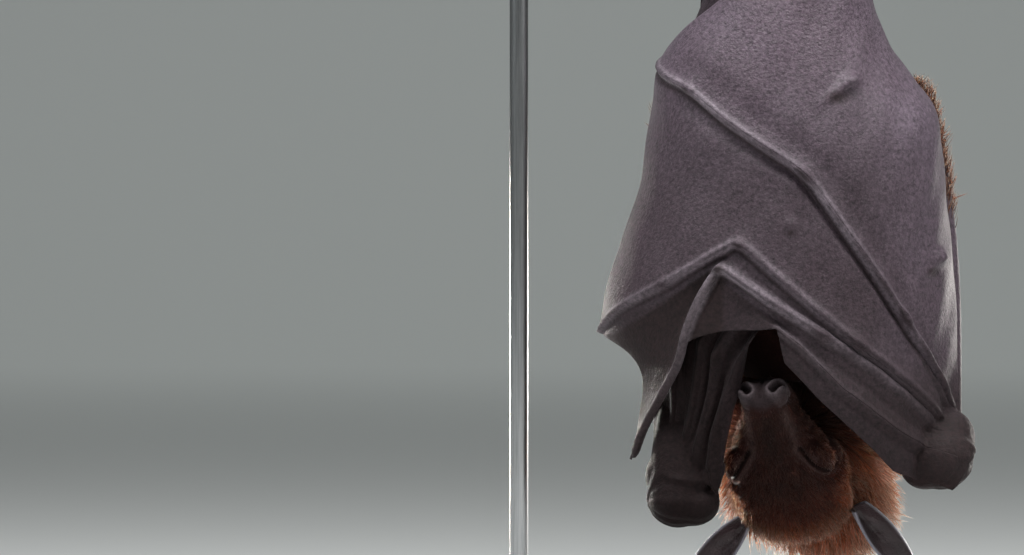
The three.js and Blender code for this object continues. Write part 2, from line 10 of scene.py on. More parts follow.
import bpy
import numpy as np
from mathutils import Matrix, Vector


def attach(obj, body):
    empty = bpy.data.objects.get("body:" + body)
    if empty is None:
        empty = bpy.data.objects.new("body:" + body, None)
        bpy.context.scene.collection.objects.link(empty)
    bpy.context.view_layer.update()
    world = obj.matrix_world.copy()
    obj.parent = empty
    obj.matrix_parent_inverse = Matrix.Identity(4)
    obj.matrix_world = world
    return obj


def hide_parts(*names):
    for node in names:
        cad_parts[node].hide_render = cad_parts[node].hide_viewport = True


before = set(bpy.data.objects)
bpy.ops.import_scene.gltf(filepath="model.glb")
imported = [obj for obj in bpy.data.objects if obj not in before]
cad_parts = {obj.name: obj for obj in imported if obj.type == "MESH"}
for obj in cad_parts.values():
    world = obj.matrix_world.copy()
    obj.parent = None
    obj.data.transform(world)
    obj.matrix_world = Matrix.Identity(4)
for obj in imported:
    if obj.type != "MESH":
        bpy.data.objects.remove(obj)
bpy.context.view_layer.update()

MM = 0.001

# %% [markdown]
# ## Camera
# The bat is seen from its belly side, from a little to its left, at the height of its chest. A long
# lens at about 1.9 m keeps the wings nearly flat to the eye, as a telephoto picture does.

# %% Camera
CAMERA_PLACE = (-0.1066, -1.9344, 0.1893)
CAMERA_LENS = 180
bpy.ops.object.camera_add(location=CAMERA_PLACE, rotation=(math.radians(90), 0, 0))
camera = bpy.context.object
camera.data.lens = CAMERA_LENS
camera.data.clip_start = 0.05
camera.data.clip_end = 50
bpy.context.scene.camera = camera
print("camera", camera.location[:], "lens", camera.data.lens)

# %% [markdown]
# ## Helpers
# Operators act on what is selected, so everything is deselected before each new primitive. A
# primitive of many small faces is then bent: each of its corners is carried to its place on a
# surface that a function gives, which is how a limb or a wing keeps one clean grid of faces.


# %% Helpers
def rise(value, start, end):
    share = np.clip((value - start) / (end - start), 0, 1)
    return share * share * (3 - 2 * share)


def deselect():
    if bpy.context.mode != "OBJECT":
        bpy.ops.object.mode_set(mode="OBJECT")
    bpy.ops.object.select_all(action="DESELECT")


def select(*pieces):
    deselect()
    for piece in pieces:
        piece.select_set(True)
    bpy.context.view_layer.objects.active = pieces[0]


def corners(piece):
    flat = np.empty(len(piece.data.vertices) * 3)
    piece.data.vertices.foreach_get("co", flat)
    return flat.reshape(-1, 3)


def corner_normals(piece):
    flat = np.empty(len(piece.data.vertices) * 3)
    piece.data.vertices.foreach_get("normal", flat)
    return flat.reshape(-1, 3)


def move_corners(piece, places):
    piece.data.vertices.foreach_set("co", np.asarray(places, dtype=np.float64).ravel())
    piece.data.update()


def apply_modifier(piece, kind, **settings):
    select(piece)
    modifier = piece.modifiers.new(kind.lower(), kind)
    for name, value in settings.items():
        setattr(modifier, name, value)
    bpy.ops.object.modifier_apply(modifier=modifier.name)


def in_edit_mode(piece, *steps):
    select(piece)
    bpy.ops.object.mode_set(mode="EDIT")
    bpy.ops.mesh.select_all(action="SELECT")
    for step in steps:
        step()
    bpy.ops.object.mode_set(mode="OBJECT")


def face_outwards():
    bpy.ops.mesh.normals_make_consistent(inside=False)


def merge_close(distance=1e-6):
    bpy.ops.mesh.remove_doubles(threshold=distance)


def join(name, *pieces):
    select(*pieces)
    if len(pieces) > 1:
        bpy.ops.object.join()
    joined = bpy.context.object
    joined.name = name
    joined.data.name = name
    return joined


def smooth_shading(piece):
    select(piece)
    bpy.ops.object.shade_smooth()


def report(piece):
    low, high = corners(piece).min(0), corners(piece).max(0)
    triangles = sum(len(face.vertices) - 2 for face in piece.data.polygons)
    print(piece.name, triangles, "triangles, mm", np.round(low / MM).tolist(), np.round(high / MM).tolist())


def bent_grid(name, place, rows, columns):
    """A grid primitive whose corners are carried to place(t, u), both arrays from 0 to 1."""
    deselect()
    bpy.ops.mesh.primitive_grid_add(x_subdivisions=rows, y_subdivisions=columns, size=1)
    piece = bpy.context.object
    piece.name = name
    flat = corners(piece)
    move_corners(piece, place(flat[:, 0] + 0.5, flat[:, 1] + 0.5))
    return piece


def bent_ball(name, place, segments, rings):
    """A ball primitive carried to place(t, x, y): t runs from 0 to 1 pole to pole, and x, y point
    outwards, shrinking only close to the poles so that the ends are rounded."""
    deselect()
    bpy.ops.mesh.primitive_uv_sphere_add(segments=segments, ring_count=rings, radius=1)
    piece = bpy.context.object
    piece.name = name
    ball = corners(piece)
    across = np.hypot(ball[:, 0], ball[:, 1])
    full = np.minimum(1, across / END_ROUNDING)
    turn = np.arctan2(ball[:, 1], ball[:, 0])
    move_corners(piece, place((ball[:, 2] + 1) / 2, full * np.cos(turn), full * np.sin(turn)))
    in_edit_mode(piece, face_outwards)
    return piece


END_ROUNDING = 0.42

# %% [markdown]
# ## The shapes behind the wings
# The folded wings wrap the body like a cocoon, so every place on them is given by an angle round the
# body, a height, and a height off the surface. These are the same functions and sizes as in the
# part's source, in millimetres, so that the skins lie where the solids are.

# %% The cocoon
# At each height: the middle, half width, front depth and back depth.
COCOON = np.array([
    [94, 0, 57, 41, 24],
    [120, 1, 61.5, 49, 28],
    [144, 0, 61.5, 52, 30],
    [170, -3, 63.5, 51, 32],
    [200, -1.6, 60.6, 48, 32],
    [227, 0, 55, 44, 31],
    [250, -2.6, 49.6, 40, 30],
    [270, -6, 43, 35, 28],
    [292, -4.6, 33.5, 29, 24],
    [325, -5, 25.5, 20, 16],
    [350, -5, 20, 15, 13],
    [378, -5, 16.5, 11, 11],
])


def smooth_at(rows, x):
    """Rows of [x, values...] as smooth values at each x."""
    rows = np.asarray(rows, float)
    at, values = rows[:, 0], rows[:, 1:]
    held = np.clip(np.asarray(x, float), at[0], at[-1])
    i = np.clip(np.searchsorted(at, held, side="right") - 1, 0, len(at) - 2)
    before, after = np.maximum(i - 1, 0), np.minimum(i + 2, len(at) - 1)
    span = at[i + 1] - at[i]
    t = ((held - at[i]) / span)[:, None]
    start = (values[i + 1] - values[before]) * (span / (at[i + 1] - at[before]))[:, None]
    end = (values[after] - values[i]) * (span / (at[after] - at[i]))[:, None]
    rise = 3 * t**2 - 2 * t**3
    return values[i] * (1 - rise) + values[i + 1] * rise + start * (t**3 - 2 * t**2 + t) + end * (t**3 - t**2)


def wrap(places):
    """Points in mm of an array of [angle, height, lift]."""
    angle = np.radians(places[:, 0])
    height, lift = places[:, 1], places[:, 2]
    middle, half, front_depth, back_depth = smooth_at(COCOON, height).T
    depth = np.where(np.cos(angle) > 0, front_depth, back_depth)
    return np.stack([middle + (half + lift) * np.sin(angle), -(depth + lift) * np.cos(angle), height], 1)


def front(x, z, lift=0):
    """The same numbers from where a point shows in the front view."""
    middle, half = smooth_at(COCOON, [z])[0, :2]
    return [math.degrees(math.asin(max(-1, min(1, (x - middle) / (half + lift))))), z, lift]


def unwrap(point):
    """The cocoon's numbers for a point in space."""
    x, y, z = point
    middle, half, front_depth, back_depth = smooth_at(COCOON, [z])[0]
    depth = front_depth if y < 0 else back_depth
    lift = 0
    for _ in range(6):
        angle = math.degrees(math.atan2((x - middle) / (half + lift), -y / (depth + lift)))
        surface = wrap(np.array([[angle, z, 0.0]]))[0]
        lift = math.hypot(x - middle, y) - math.hypot(surface[0] - middle, surface[1])
    return [angle, z, lift]


def along(joints, t):
    """The place at t of a chain of joints; every bone takes an equal share of t."""
    joints = np.asarray(joints, float)
    reach = np.clip(t, 0, 1) * (len(joints) - 1)
    i = np.minimum(reach.astype(int), len(joints) - 2)
    share = (reach - i)[:, None]
    return joints[i] * (1 - share) + joints[i + 1] * share


def eased_along(joints, t, ease=0.022):
    """As along, with each knuckle's corner rounded a little."""
    parts = [along(joints, np.clip(t + shift * ease * np.minimum(1, np.minimum(t, 1 - t) / ease), 0, 1))
             for shift in (-1, -0.5, 0, 0.5, 1)]
    return sum(parts) / len(parts)


# %% [markdown]
# ## Fingers and arms
# Each wing is stretched by four long fingers. A finger is a chain of joints from the wrist to its
# tip. The right wing lies outside and the left one under it.

# %% The two wings
UNDER = -5.6
RIGHT = {
    "name": "right",
    "sign": 1,
    "shoulder": (27, 22, 156),
    "elbow": (46.5, 18, 262),
    "wrist": (57, -18, 125),
    "bow": 5.5,
    "rump": 1,
    "lobe": ((53.5, -25, 121.5), (13, 14, 13)),
    "fingers": {
        5: [front(60, 131), front(38.3, 174.3, 2), front(1.5, 228, 3.5), front(-41, 260.4, 4), [-94, 272, 1]],
        4: [front(58, 129), front(20.4, 165.1, 2), front(-23, 203.2, 2.5), front(-50, 187, 3), [-90, 169, 7]],
        3: [front(56, 127), front(7.2, 168.8, 1.5), front(-30.7, 194.3, 2), front(-44.6, 157.5, 2), [-77, 121, 2]],
        2: [front(53, 120), front(34.6, 133.3, 1), front(14.5, 148.5, 1), front(0, 163.5, 1.5), front(-9, 170.6, 2)],
    },
    "lead": [front(50, 111), front(34, 118, -1), front(17.4, 134.4, -1.5), front(6.3, 144.7, -2),
             front(-6, 158, -2)],
    "inner_end": 0.7,
}
LEFT = {
    "name": "left",
    "sign": -1,
    "shoulder": (-23, 22, 156),
    "elbow": (-44.5, 16, 256),
    "wrist": (-48, -20, 112),
    "bow": 4,
    "rump": -3,
    "lobe": ((-44.5, -25, 107.5), (13, 13.5, 12.5)),
    "fingers": {
        5: [[-60, 118, UNDER], [-47, 174, UNDER], front(-24, 231.7, UNDER), front(18.5, 262, UNDER),
            [72, 277, UNDER]],
        4: [[-54, 116, UNDER], [-35, 165, UNDER], front(-3.7, 212.5, UNDER), front(26, 206, UNDER),
            front(50, 197, UNDER)],
        3: [[-48, 114, UNDER], [-30, 160, UNDER], front(-1, 203, UNDER), front(20, 180, UNDER),
            front(44, 152, UNDER)],
        2: [[-37, 112, UNDER], front(-32, 130, UNDER), front(-27.5, 145, UNDER), front(-23.5, 157, UNDER),
            front(-17, 168, UNDER)],
    },
    "lead": [front(-31, 104, UNDER), front(-28.9, 120, UNDER - 1), front(-24.8, 140, UNDER - 2),
             front(-21, 155, UNDER - 3), front(-19, 166, UNDER - 4)],
    "inner_end": 0.6,
}


def forearm_point(wing, t):
    t = np.asarray(t, float)[:, None]
    straight = np.array(wing["elbow"]) * (1 - t) + np.array(wing["wrist"]) * t
    bow = wing["sign"] * wing["bow"] * np.sin(np.pi * np.clip(t, 0, 1))
    return straight + bow * np.array([1, 0, 0])


def arm_edge(wing):
    """Where the arm's skin ends: the front of the forearm, the elbow and on to the ankle."""
    side = wing["sign"]
    shares = (0.97, 0.735, 0.5, 0.26, 0.02)
    fore = [unwrap(point + (side * 2, -6.6, 0)) for point in forearm_point(wing, shares)]
    rump = wing["rump"]
    return fore + [[side * 108, 283, rump], [side * 104, 305, rump], [side * 97, 333, 4], [side * 75, 370, 1.5]]


for wing in (RIGHT, LEFT):
    print(wing["name"], "arm edge", [[round(v) for v in place] for place in arm_edge(wing)])

# %% [markdown]
# ## Finishes
# Every finish is made of nodes on object coordinates, so that it stays on the piece from all sides.
# The wing's skin is thin leather: purple grey, speckled with pores, crossed by fine elastic threads,
# duller and browner towards the wrist and lower down, where painted shade is added too. Its upper
# ridges carry painted highlights. The bump carries pores and creases; the sheet's own shape carries
# the bones and folds.


# %% Node helpers
def new_material(name):
    material = bpy.data.materials.new(name)
    material.use_nodes = True
    nodes = material.node_tree.nodes
    shader = nodes["Principled BSDF"]
    return material, nodes, material.node_tree.links, shader


def object_coordinates(nodes, links, stretch=(1, 1, 1)):
    place = nodes.new("ShaderNodeTexCoord")
    mapping = nodes.new("ShaderNodeMapping")
    mapping.inputs["Scale"].default_value = stretch
    links.new(place.outputs["Object"], mapping.inputs["Vector"])
    return mapping.outputs["Vector"]


def noise(nodes, links, vector, scale, detail=4, roughness=0.55, distortion=0):
    texture = nodes.new("ShaderNodeTexNoise")
    texture.inputs["Scale"].default_value = scale
    texture.inputs["Detail"].default_value = detail
    texture.inputs["Roughness"].default_value = roughness
    texture.inputs["Distortion"].default_value = distortion
    links.new(vector, texture.inputs["Vector"])
    return texture.outputs["Fac"]


def ramp(nodes, links, factor, *stops):
    """A colour ramp; each stop is (place, colour) or (place, grey)."""
    node = nodes.new("ShaderNodeValToRGB")
    elements = node.color_ramp.elements
    while len(elements) < len(stops):
        elements.new(0.5)
    for element, (place, colour) in zip(elements, stops):
        element.position = place
        element.color = (*colour, 1) if isinstance(colour, tuple) else (colour, colour, colour, 1)
    links.new(factor, node.inputs["Fac"])
    return node.outputs["Color"]


def blend_colours(nodes, links, factor, first, second, mode="MIX"):
    node = nodes.new("ShaderNodeMix")
    node.data_type = "RGBA"
    node.blend_type = mode
    for socket, value in ((0, factor), (6, first), (7, second)):
        if isinstance(value, bpy.types.NodeSocket):
            links.new(value, node.inputs[socket])
        elif socket == 0:
            node.inputs[socket].default_value = value
        else:
            node.inputs[socket].default_value = (*value, 1)
    return node.outputs[2]


def bump(nodes, links, height, strength, distance, under=None):
    node = nodes.new("ShaderNodeBump")
    node.inputs["Strength"].default_value = strength
    node.inputs["Distance"].default_value = distance
    links.new(height, node.inputs["Height"])
    if under is not None:
        links.new(under, node.inputs["Normal"])
    return node.outputs["Normal"]


def attribute(nodes, name, output="Fac"):
    node = nodes.new("ShaderNodeAttribute")
    node.attribute_name = name
    return node.outputs[output]


# %% Wing skin finish
WING_GREY = (0.086, 0.064, 0.084)
# Dark brown for the lower wing: partly the skin's own colour, partly painted shade.
WING_SHADED_BROWN = (0.016, 0.0082, 0.0088)
# A darker brown for the under wing: its own colour darkened as painted shade, as it hangs in the outer wing's
# shadow.
UNDER_SHADED_BROWN = (0.011, 0.0062, 0.0064)
# Painted highlight colour for the tops of the bone ridges.
WING_HIGHLIGHT = (0.25, 0.21, 0.24)


def wing_finish(name, brown, gloss_level):
    material, nodes, links, shader = new_material(name)
    vector = object_coordinates(nodes, links)
    broad = ramp(nodes, links, noise(nodes, links, vector, 18, 2), (0.3, 0.0), (0.72, 1.0))
    low = attribute(nodes, "brown_and_shade")
    ridge_highlight = attribute(nodes, "ridge_highlight")
    # Purple grey, darkened to brown by the stored attribute: partly the skin's browner colour, partly painted shade.
    tone = blend_colours(nodes, links, low, WING_GREY, brown)
    dark = blend_colours(nodes, links, 1.0, tone, (0.80, 0.74, 0.74), "MULTIPLY")
    soft = blend_colours(nodes, links, broad, tone, dark)
    # Painted highlight along the bone ridges.
    highlighted = blend_colours(nodes, links, ridge_highlight, soft, WING_HIGHLIGHT)
    grain = ramp(nodes, links, noise(nodes, links, vector, 620, 5, 0.7), (0.32, 0.45), (0.68, 1.52))
    highlighted = blend_colours(nodes, links, 1.0, highlighted, grain, "MULTIPLY")
    specks = ramp(nodes, links, noise(nodes, links, vector, 1500, 2), (0.52, 0.0), (0.72, 1.0))
    speckled = blend_colours(nodes, links, specks, highlighted, (0.17, 0.145, 0.155))
    final = blend_colours(nodes, links, low, blend_colours(nodes, links, 0.35, highlighted, speckled), highlighted)
    links.new(final, shader.inputs["Base Color"])
    pores = noise(nodes, links, vector, 900, 3, 0.6)
    threads = nodes.new("ShaderNodeTexWave")
    threads.inputs["Scale"].default_value = 190
    threads.inputs["Distortion"].default_value = 5
    threads.inputs["Detail"].default_value = 3
    threads.inputs["Detail Scale"].default_value = 1.2
    stretched = object_coordinates(nodes, links, (0.55, 0.55, 1))
    links.new(stretched, threads.inputs["Vector"])
    creases = nodes.new("ShaderNodeTexVoronoi")
    creases.feature = "DISTANCE_TO_EDGE"
    creases.inputs["Scale"].default_value = 380
    links.new(vector, creases.inputs["Vector"])
    crease_depth = ramp(nodes, links, creases.outputs["Distance"], (0.0, 0.0), (0.12, 1.0))
    first = bump(nodes, links, pores, 0.6, 0.0007)
    second = bump(nodes, links, threads.outputs["Fac"], 0.07, 0.0005, first)
    third = bump(nodes, links, crease_depth, 0.05, 0.0005, second)
    links.new(third, shader.inputs["Normal"])
    gloss = ramp(nodes, links, noise(nodes, links, vector, 60, 4), (0.3, 0.34), (0.75, 0.55))
    links.new(blend_colours(nodes, links, low, gloss, (0.72, 0.72, 0.72)), shader.inputs["Roughness"])
    shader.inputs["Specular IOR Level"].default_value = gloss_level
    shader.inputs["Sheen Weight"].default_value = 0.02
    shader.inputs["Sheen Roughness"].default_value = 0.5
    return material


# %% [markdown]
# ## The wings
# A wing's skin is one sheet over its bones. It could be moulded from a block and remeshed, but the
# skin is so thin that a remesh would need millions of faces. Instead each stretch between two
# fingers is a fine grid; the grids share the line of a finger, so they weld into one sheet. Where
# the sheet passes over a bone it is lifted into a soft ridge, as wet cloth shows a rod beneath it,
# and knuckles lift it a little more. Solidify then gives it its thickness.

# %% Wing sheets
SHEET_THICKNESS = 0.9
BONE_ROOT = 2.1
BONE_TIP = 1.0
WEB_ROWS = 160


def web(start_chain, end_chain, rows, columns, sag, scallop, reach, wave=None):
    """The grid of skin between two chains, as (rows + 1) x (columns + 1) places on the cocoon."""
    k = np.arange(rows + 1) / rows
    u = 0.5 - 0.5 * np.cos(np.pi * np.arange(columns + 1) / columns)
    u = 0.45 * u + 0.55 * np.arange(columns + 1) / columns
    t = np.repeat(k, columns + 1)
    across = np.tile(u, rows + 1)
    dip = np.sin(np.pi * across)
    run = t * (1 - scallop * dip * t**2)
    a = eased_along(start_chain, np.minimum(run * reach[0], 1))
    b = eased_along(end_chain, run * reach[1])
    places = a * (1 - across)[:, None] + b * across[:, None]
    places[:, 2] -= sag * dip * np.sin(np.pi / 2 * np.minimum(1, run * 1.3))
    if wave is not None:
        places[:, 2] += wave(t, across)
    return places


def distance_to_chain(points, chain, samples=160, first=0.0):
    """The distance from each point to a finger's bone, how far along the finger that is, and whether
    the point lies beneath the bone."""
    t = np.linspace(first, 1, samples)
    line = wrap(eased_along(chain, t))
    best = np.full(len(points), 1e9)
    where, beneath = np.zeros(len(points)), np.zeros(len(points), dtype=bool)
    for k in range(samples - 1):
        start, step = line[k], line[k + 1] - line[k]
        share = np.clip((points - start) @ step / (step @ step), 0, 1)
        gap = np.linalg.norm(points - start - share[:, None] * step, axis=1)
        nearer = gap < best
        best[nearer] = gap[nearer]
        where[nearer] = t[k] + share[nearer] * (t[k + 1] - t[k])
        beneath[nearer] = points[nearer, 2] < start[2] + share[nearer] * step[2]
    return best, where, beneath


def outward(points):
    middle, half, front_depth, back_depth = smooth_at(COCOON, points[:, 2]).T
    depth = np.where(points[:, 1] < 0, front_depth, back_depth)
    out = np.stack([(points[:, 0] - middle) / half**2, points[:, 1] / depth**2, np.zeros(len(points))], 1)
    return out / np.linalg.norm(out, axis=1)[:, None]


def bell(distance, width):
    return np.exp(-((distance / width) ** 2))


def ridge(distance, radius):
    """How high a sheet drawn over a rod stands, at a distance from the rod's line."""
    return radius * (0.78 * bell(distance, radius * 0.8) + 0.22 * bell(distance, radius * 2.2))


def grid_mesh(name, places, rows, columns):
    """A grid primitive carried to (rows + 1) x (columns + 1) ready places in mm."""
    deselect()
    bpy.ops.mesh.primitive_grid_add(x_subdivisions=columns, y_subdivisions=rows, size=1)
    piece = bpy.context.object
    piece.name = name
    flat = corners(piece) + 0.5
    column = np.rint(flat[:, 0] * columns).astype(int)
    row = np.rint(flat[:, 1] * rows).astype(int)
    move_corners(piece, places[row * (columns + 1) + column] * MM)
    return piece


print("wing helpers ready")

# %% [markdown]
# ## Stage and light
# A pale paper sweep, curved up behind, keeps the eye on the bat. One broad light overhead models the
# ridges, two weaker ones fill the sides, and two from behind make the fur tips glow.

# %% Stage and light
def stage_finish():
    material, nodes, links, shader = new_material("studio_paper")
    shader.inputs["Base Color"].default_value = (0.70, 0.71, 0.70, 1)
    shader.inputs["Roughness"].default_value = 0.9
    return material


deselect()
bpy.ops.mesh.primitive_plane_add(size=24, location=(0, 0, 0))
floor = bpy.context.object
floor.name = "floor"
bpy.ops.object.mode_set(mode="EDIT")
bpy.ops.mesh.select_all(action="DESELECT")
bpy.ops.object.mode_set(mode="OBJECT")
for edge in floor.data.edges:
    edge.select = all(floor.data.vertices[i].co.y > 0 for i in edge.vertices)
bpy.ops.object.mode_set(mode="EDIT")
bpy.ops.mesh.select_mode(type="EDGE")
bpy.ops.mesh.extrude_region_move(TRANSFORM_OT_translate={"value": (0, 0, 10)})
bpy.ops.object.mode_set(mode="OBJECT")
floor.data.materials.append(stage_finish())
bend = floor.modifiers.new("bend", "BEVEL")
bend.width = 3
bend.segments = 16
smooth_shading(floor)


def soft_light(name, place, target, size, power, colour=(1, 1, 1), spread=math.pi):
    bpy.ops.object.light_add(type="AREA", location=place)
    light = bpy.context.object
    light.name = name
    light.data.shape = "RECTANGLE"
    light.data.size, light.data.size_y = size
    light.data.energy = power
    light.data.color = colour
    light.data.spread = spread
    light.rotation_euler = (Vector(target) - Vector(place)).to_track_quat("-Z", "Y").to_euler()
    return light


BAT_MIDDLE = (0, -0.02, 0.19)
HEAD_MIDDLE = (0.005, 0, 0.075)
NARROW_BEAM = math.radians(16)
bpy.context.scene.view_settings.view_transform = "Standard"
soft_light("sky", (-0.1, -0.34, 1.6), BAT_MIDDLE, (1.2, 0.9), 42)
soft_light("left_window", (-1.2, -0.5, 1.2), BAT_MIDDLE, (0.6, 0.7), 8, (0.92, 0.98, 1))
soft_light("right_window", (1.0, -0.5, 1.25), BAT_MIDDLE, (0.6, 0.7), 13)
soft_light("wall_wash", (0, 8, 9), (0, 12, 2), (8, 2), 212, (0.96, 1, 0.99))
soft_light("rim_right", (0.6, 0.95, 0.16), HEAD_MIDDLE, (0.3, 0.12), 0.14, (1, 0.95, 0.9), NARROW_BEAM)
soft_light("rim_left", (-0.6, 0.95, 0.16), HEAD_MIDDLE, (0.3, 0.12), 0.3, (1, 0.95, 0.9), NARROW_BEAM)
world = bpy.data.worlds.new("studio")
bpy.context.scene.world = world
world.use_nodes = True
world.node_tree.nodes["Background"].inputs["Color"].default_value = (0.80, 0.86, 0.86, 1)
world.node_tree.nodes["Background"].inputs["Strength"].default_value = 0.12

# %% Wing skins and their folds
SHARP_FOLD = 0.06


def left_knuckle_marks(points):
    """The under wing's knuckles and finger tips press through the outer wing's skin."""
    lift = np.zeros(len(points))
    x, z = points[:, 0], points[:, 2]
    facing = points[:, 1] < 0
    for mark_x, mark_z, width, height in PRESSED_THROUGH:
        lift += height * bell(np.hypot(x - mark_x, z - mark_z), width) * facing
    for (x0, z0), (x1, z1), width, height in PRESSED_LINES:
        step = np.array([x1 - x0, z1 - z0])
        share = np.clip(((x - x0) * step[0] + (z - z0) * step[1]) / (step @ step), 0, 1)
        gap = np.hypot(x - x0 - share * step[0], z - z0 - share * step[1])
        lift += height * (1 - 0.75 * share) * bell(gap, width) * facing
    return lift


# (x, z, width, height) in mm, and lines from one (x, z) to another
PRESSED_THROUGH = [(18.5, 262.5, 2.4, 3.0), (52.5, 197, 2.6, 2.8), (-3.7, 208.4, 2.2, 1.3)]
PRESSED_LINES = [
    ((18.5, 262.5), (8, 253.5), 1.5, 2.4),
    ((52.5, 197), (46, 189), 1.4, 1.0),
    ((-9, 170.6), (9, 160), 1.2, 0.9),
]


def fold_waves(t, u, count, size):
    """Folds that run along the fingers and fade towards the tips."""
    return size * np.sin(2 * np.pi * count * u) * np.sin(np.pi * u) * (1 - t) * np.minimum(1, t * 6)


def wing_webs(wing):
    fingers = wing["fingers"]
    end = wing["inner_end"]
    under = lambda t, u: -2.2 * bell(u - 0.9, SHARP_FOLD) * np.sin(np.pi * np.clip(t * 1.1, 0, 1))
    webs = {
        "arm": web(fingers[5], arm_edge(wing), WEB_ROWS, 60, 0.6, 0.05, (1, 1),
                   lambda t, u: -1.2 * bell(u - 0.07, 0.05) * np.sin(np.pi * t)),
        "outer": web(fingers[4], fingers[5], WEB_ROWS, 44, 0.9, 0.05, (1, 1), under),
        "middle": web(fingers[3], fingers[4], WEB_ROWS, 30, 1.3, 0.10, (1, 1),
                      lambda t, u: fold_waves(t, u, 2, 0.7) - 2.8 * np.sin(np.pi * u) * rise(t, 0.5, 0.66)),
        "inner": web(fingers[2], fingers[3], round(WEB_ROWS * end), 32, 1.2, 0.04, (1.25, end),
                     lambda t, u: fold_waves(t, u, 1.7, 0.8) - 2.5 * np.sin(np.pi * u) * rise(t, 0.45, 0.8)),
        "lead": web(fingers[2], wing["lead"], WEB_ROWS, 16, -1, 0, (1, 1)),
    }
    columns = {"arm": 60, "outer": 44, "middle": 30, "inner": 32, "lead": 16}
    rows = {name: round(WEB_ROWS * end) if name == "inner" else WEB_ROWS for name in webs}
    return webs, rows, columns


def raise_over_bones(wing, points):
    """The sheet's points, lifted where bones, knuckles, the wrist and the forearm lie beneath it."""
    out = outward(points)
    lift, groove = np.zeros(len(points)), np.zeros(len(points))
    for digit, chain in wing["fingers"].items():
        gap, where, beneath = distance_to_chain(points, chain)
        radius = BONE_ROOT + (BONE_TIP - BONE_ROOT) * where
        knuckle = sum(bell(where - joint, 0.014) for joint in (0.25, 0.5, 0.75)) * (digit > 2)
        height = ridge(gap, radius * (1 + 0.28 * knuckle)) * (1 + 0.45 * knuckle)
        lift = np.maximum(lift, height * DIGIT_HEIGHT[digit])
        groove = np.maximum(groove, 0.8 * bell(gap - 1.9 * radius, radius * 0.7) * beneath)
    lift -= groove
    if wing is RIGHT:
        lift += left_knuckle_marks(points)
    x, y, z = points.T
    lift += 0.35 * np.sin(x / 7 + z / 11) * np.sin(z / 9 - y / 8) + 0.2 * np.sin(x / 3.1 - z / 4.3 + y / 5)
    moved = points + out * lift[:, None]
    centre, radii = (np.array(part, float) for part in wing["lobe"])
    for _ in range(12):
        within = 1 - np.linalg.norm((moved - centre) / (radii + 0.8), axis=1)
        moved += out * (np.clip(within, 0, 1) * radii.min() * 0.5)[:, None]
    t = np.linspace(0.02, 1, 60)
    line = forearm_point(wing, t)
    for centre in line:
        away = moved - centre
        gap = np.linalg.norm(away, axis=1)
        inside = gap < FOREARM_COVER
        moved[inside] += away[inside] / gap[inside, None] * (FOREARM_COVER - gap[inside, None]) * 0.6
    return moved


DIGIT_HEIGHT = {5: 1.15, 4: 1.0, 3: 0.95, 2: 0.9}
FOREARM_COVER = 6.2


def flank_line(wing):
    side = wing["sign"]
    shoulder = np.array(wing["shoulder"], float) + (side * 9, 8, 8)
    low = [(side * 40, 22, 205), (side * 35 - 3, 18, 250), (side * 31 - 4, 15, 290)]
    return np.array([shoulder, *low, (side * 28 - 5, 6, 331), (side * 20 - 5, 8, 364)])


def flank_skin(wing):
    """Behind the elbow the skin goes on from the arm's edge to the flank and the leg."""
    rows, columns = 70, 16
    t = np.repeat(np.arange(rows + 1) / rows, columns + 1)
    u = np.tile(np.arange(columns + 1) / columns, rows + 1)
    outer = wrap(along(arm_edge(wing), 0.53 + 0.45 * t))
    elbow = np.array(wing["elbow"], float) + (wing["sign"] * 2, 8, 0)
    near_elbow = (1 - np.clip(t * 3, 0, 1))[:, None]
    outer = outer * (1 - near_elbow) + elbow * near_elbow
    stops = np.concatenate([np.linspace(0, 1, 6)[:, None], flank_line(wing)], 1)
    inner = smooth_at(stops, 0.12 + 0.88 * t)
    places = outer * (1 - u)[:, None] + inner * u[:, None]
    width = np.linalg.norm(outer - inner, axis=1)
    places[:, 1] += np.minimum(2.5, 0.1 * width) * np.sin(np.pi * u)
    return places, rows, columns


def bend_skin(wing):
    """In the bend of the arm a narrow skin joins upper arm and forearm."""
    rows, columns = 50, 12
    t = np.repeat(np.arange(rows + 1) / rows, columns + 1)
    u = np.tile(np.arange(columns + 1) / columns, rows + 1)[:, None]
    shoulder, elbow = (np.array(wing[name], float) for name in ("shoulder", "elbow"))
    share = (0.1 + 0.8 * t)[:, None]
    back = shoulder * (1 - share) + elbow * share + (wing["sign"] * 7, -3, 0)
    fore = forearm_point(wing, 1 - (0.1 + 0.8 * t)) + (wing["sign"] * -2, 5, 0)
    return back * (1 - u) + fore * u, rows, columns


def limb(name, stops, side=(1, 0, 0), segments=28, rings=36):
    """A ball drawn out along a smooth line. Each stop is (point, half width, half depth) in mm."""
    rows = [[i / (len(stops) - 1), *point, *sizes] for i, (point, *sizes) in enumerate(stops)]

    def place(t, x, y):
        values = smooth_at(rows, t)
        centre, sizes = values[:, :3], values[:, 3:]
        ahead = smooth_at(rows, np.minimum(t + 0.02, 1))[:, :3] - smooth_at(rows, np.maximum(t - 0.02, 0))[:, :3]
        ahead /= np.linalg.norm(ahead, axis=1)[:, None]
        across = np.array(side, float) - ahead * (ahead @ np.array(side, float))[:, None]
        across /= np.linalg.norm(across, axis=1)[:, None]
        out = np.cross(ahead, across)
        return (centre + across * (x * sizes[:, 0])[:, None] + out * (y * sizes[:, 1])[:, None]) * MM

    return bent_ball(name, place, segments, rings)


WRIST_SHARE = 0.24
LOBE_SHARE = np.array([0.9, 0.95, 0.88])


def round_lump(name, centre, radii):
    deselect()
    bpy.ops.mesh.primitive_uv_sphere_add(segments=40, ring_count=28, radius=1)
    piece = bpy.context.object
    piece.name = name
    move_corners(piece, (corners(piece) * radii + centre) * MM)
    return piece


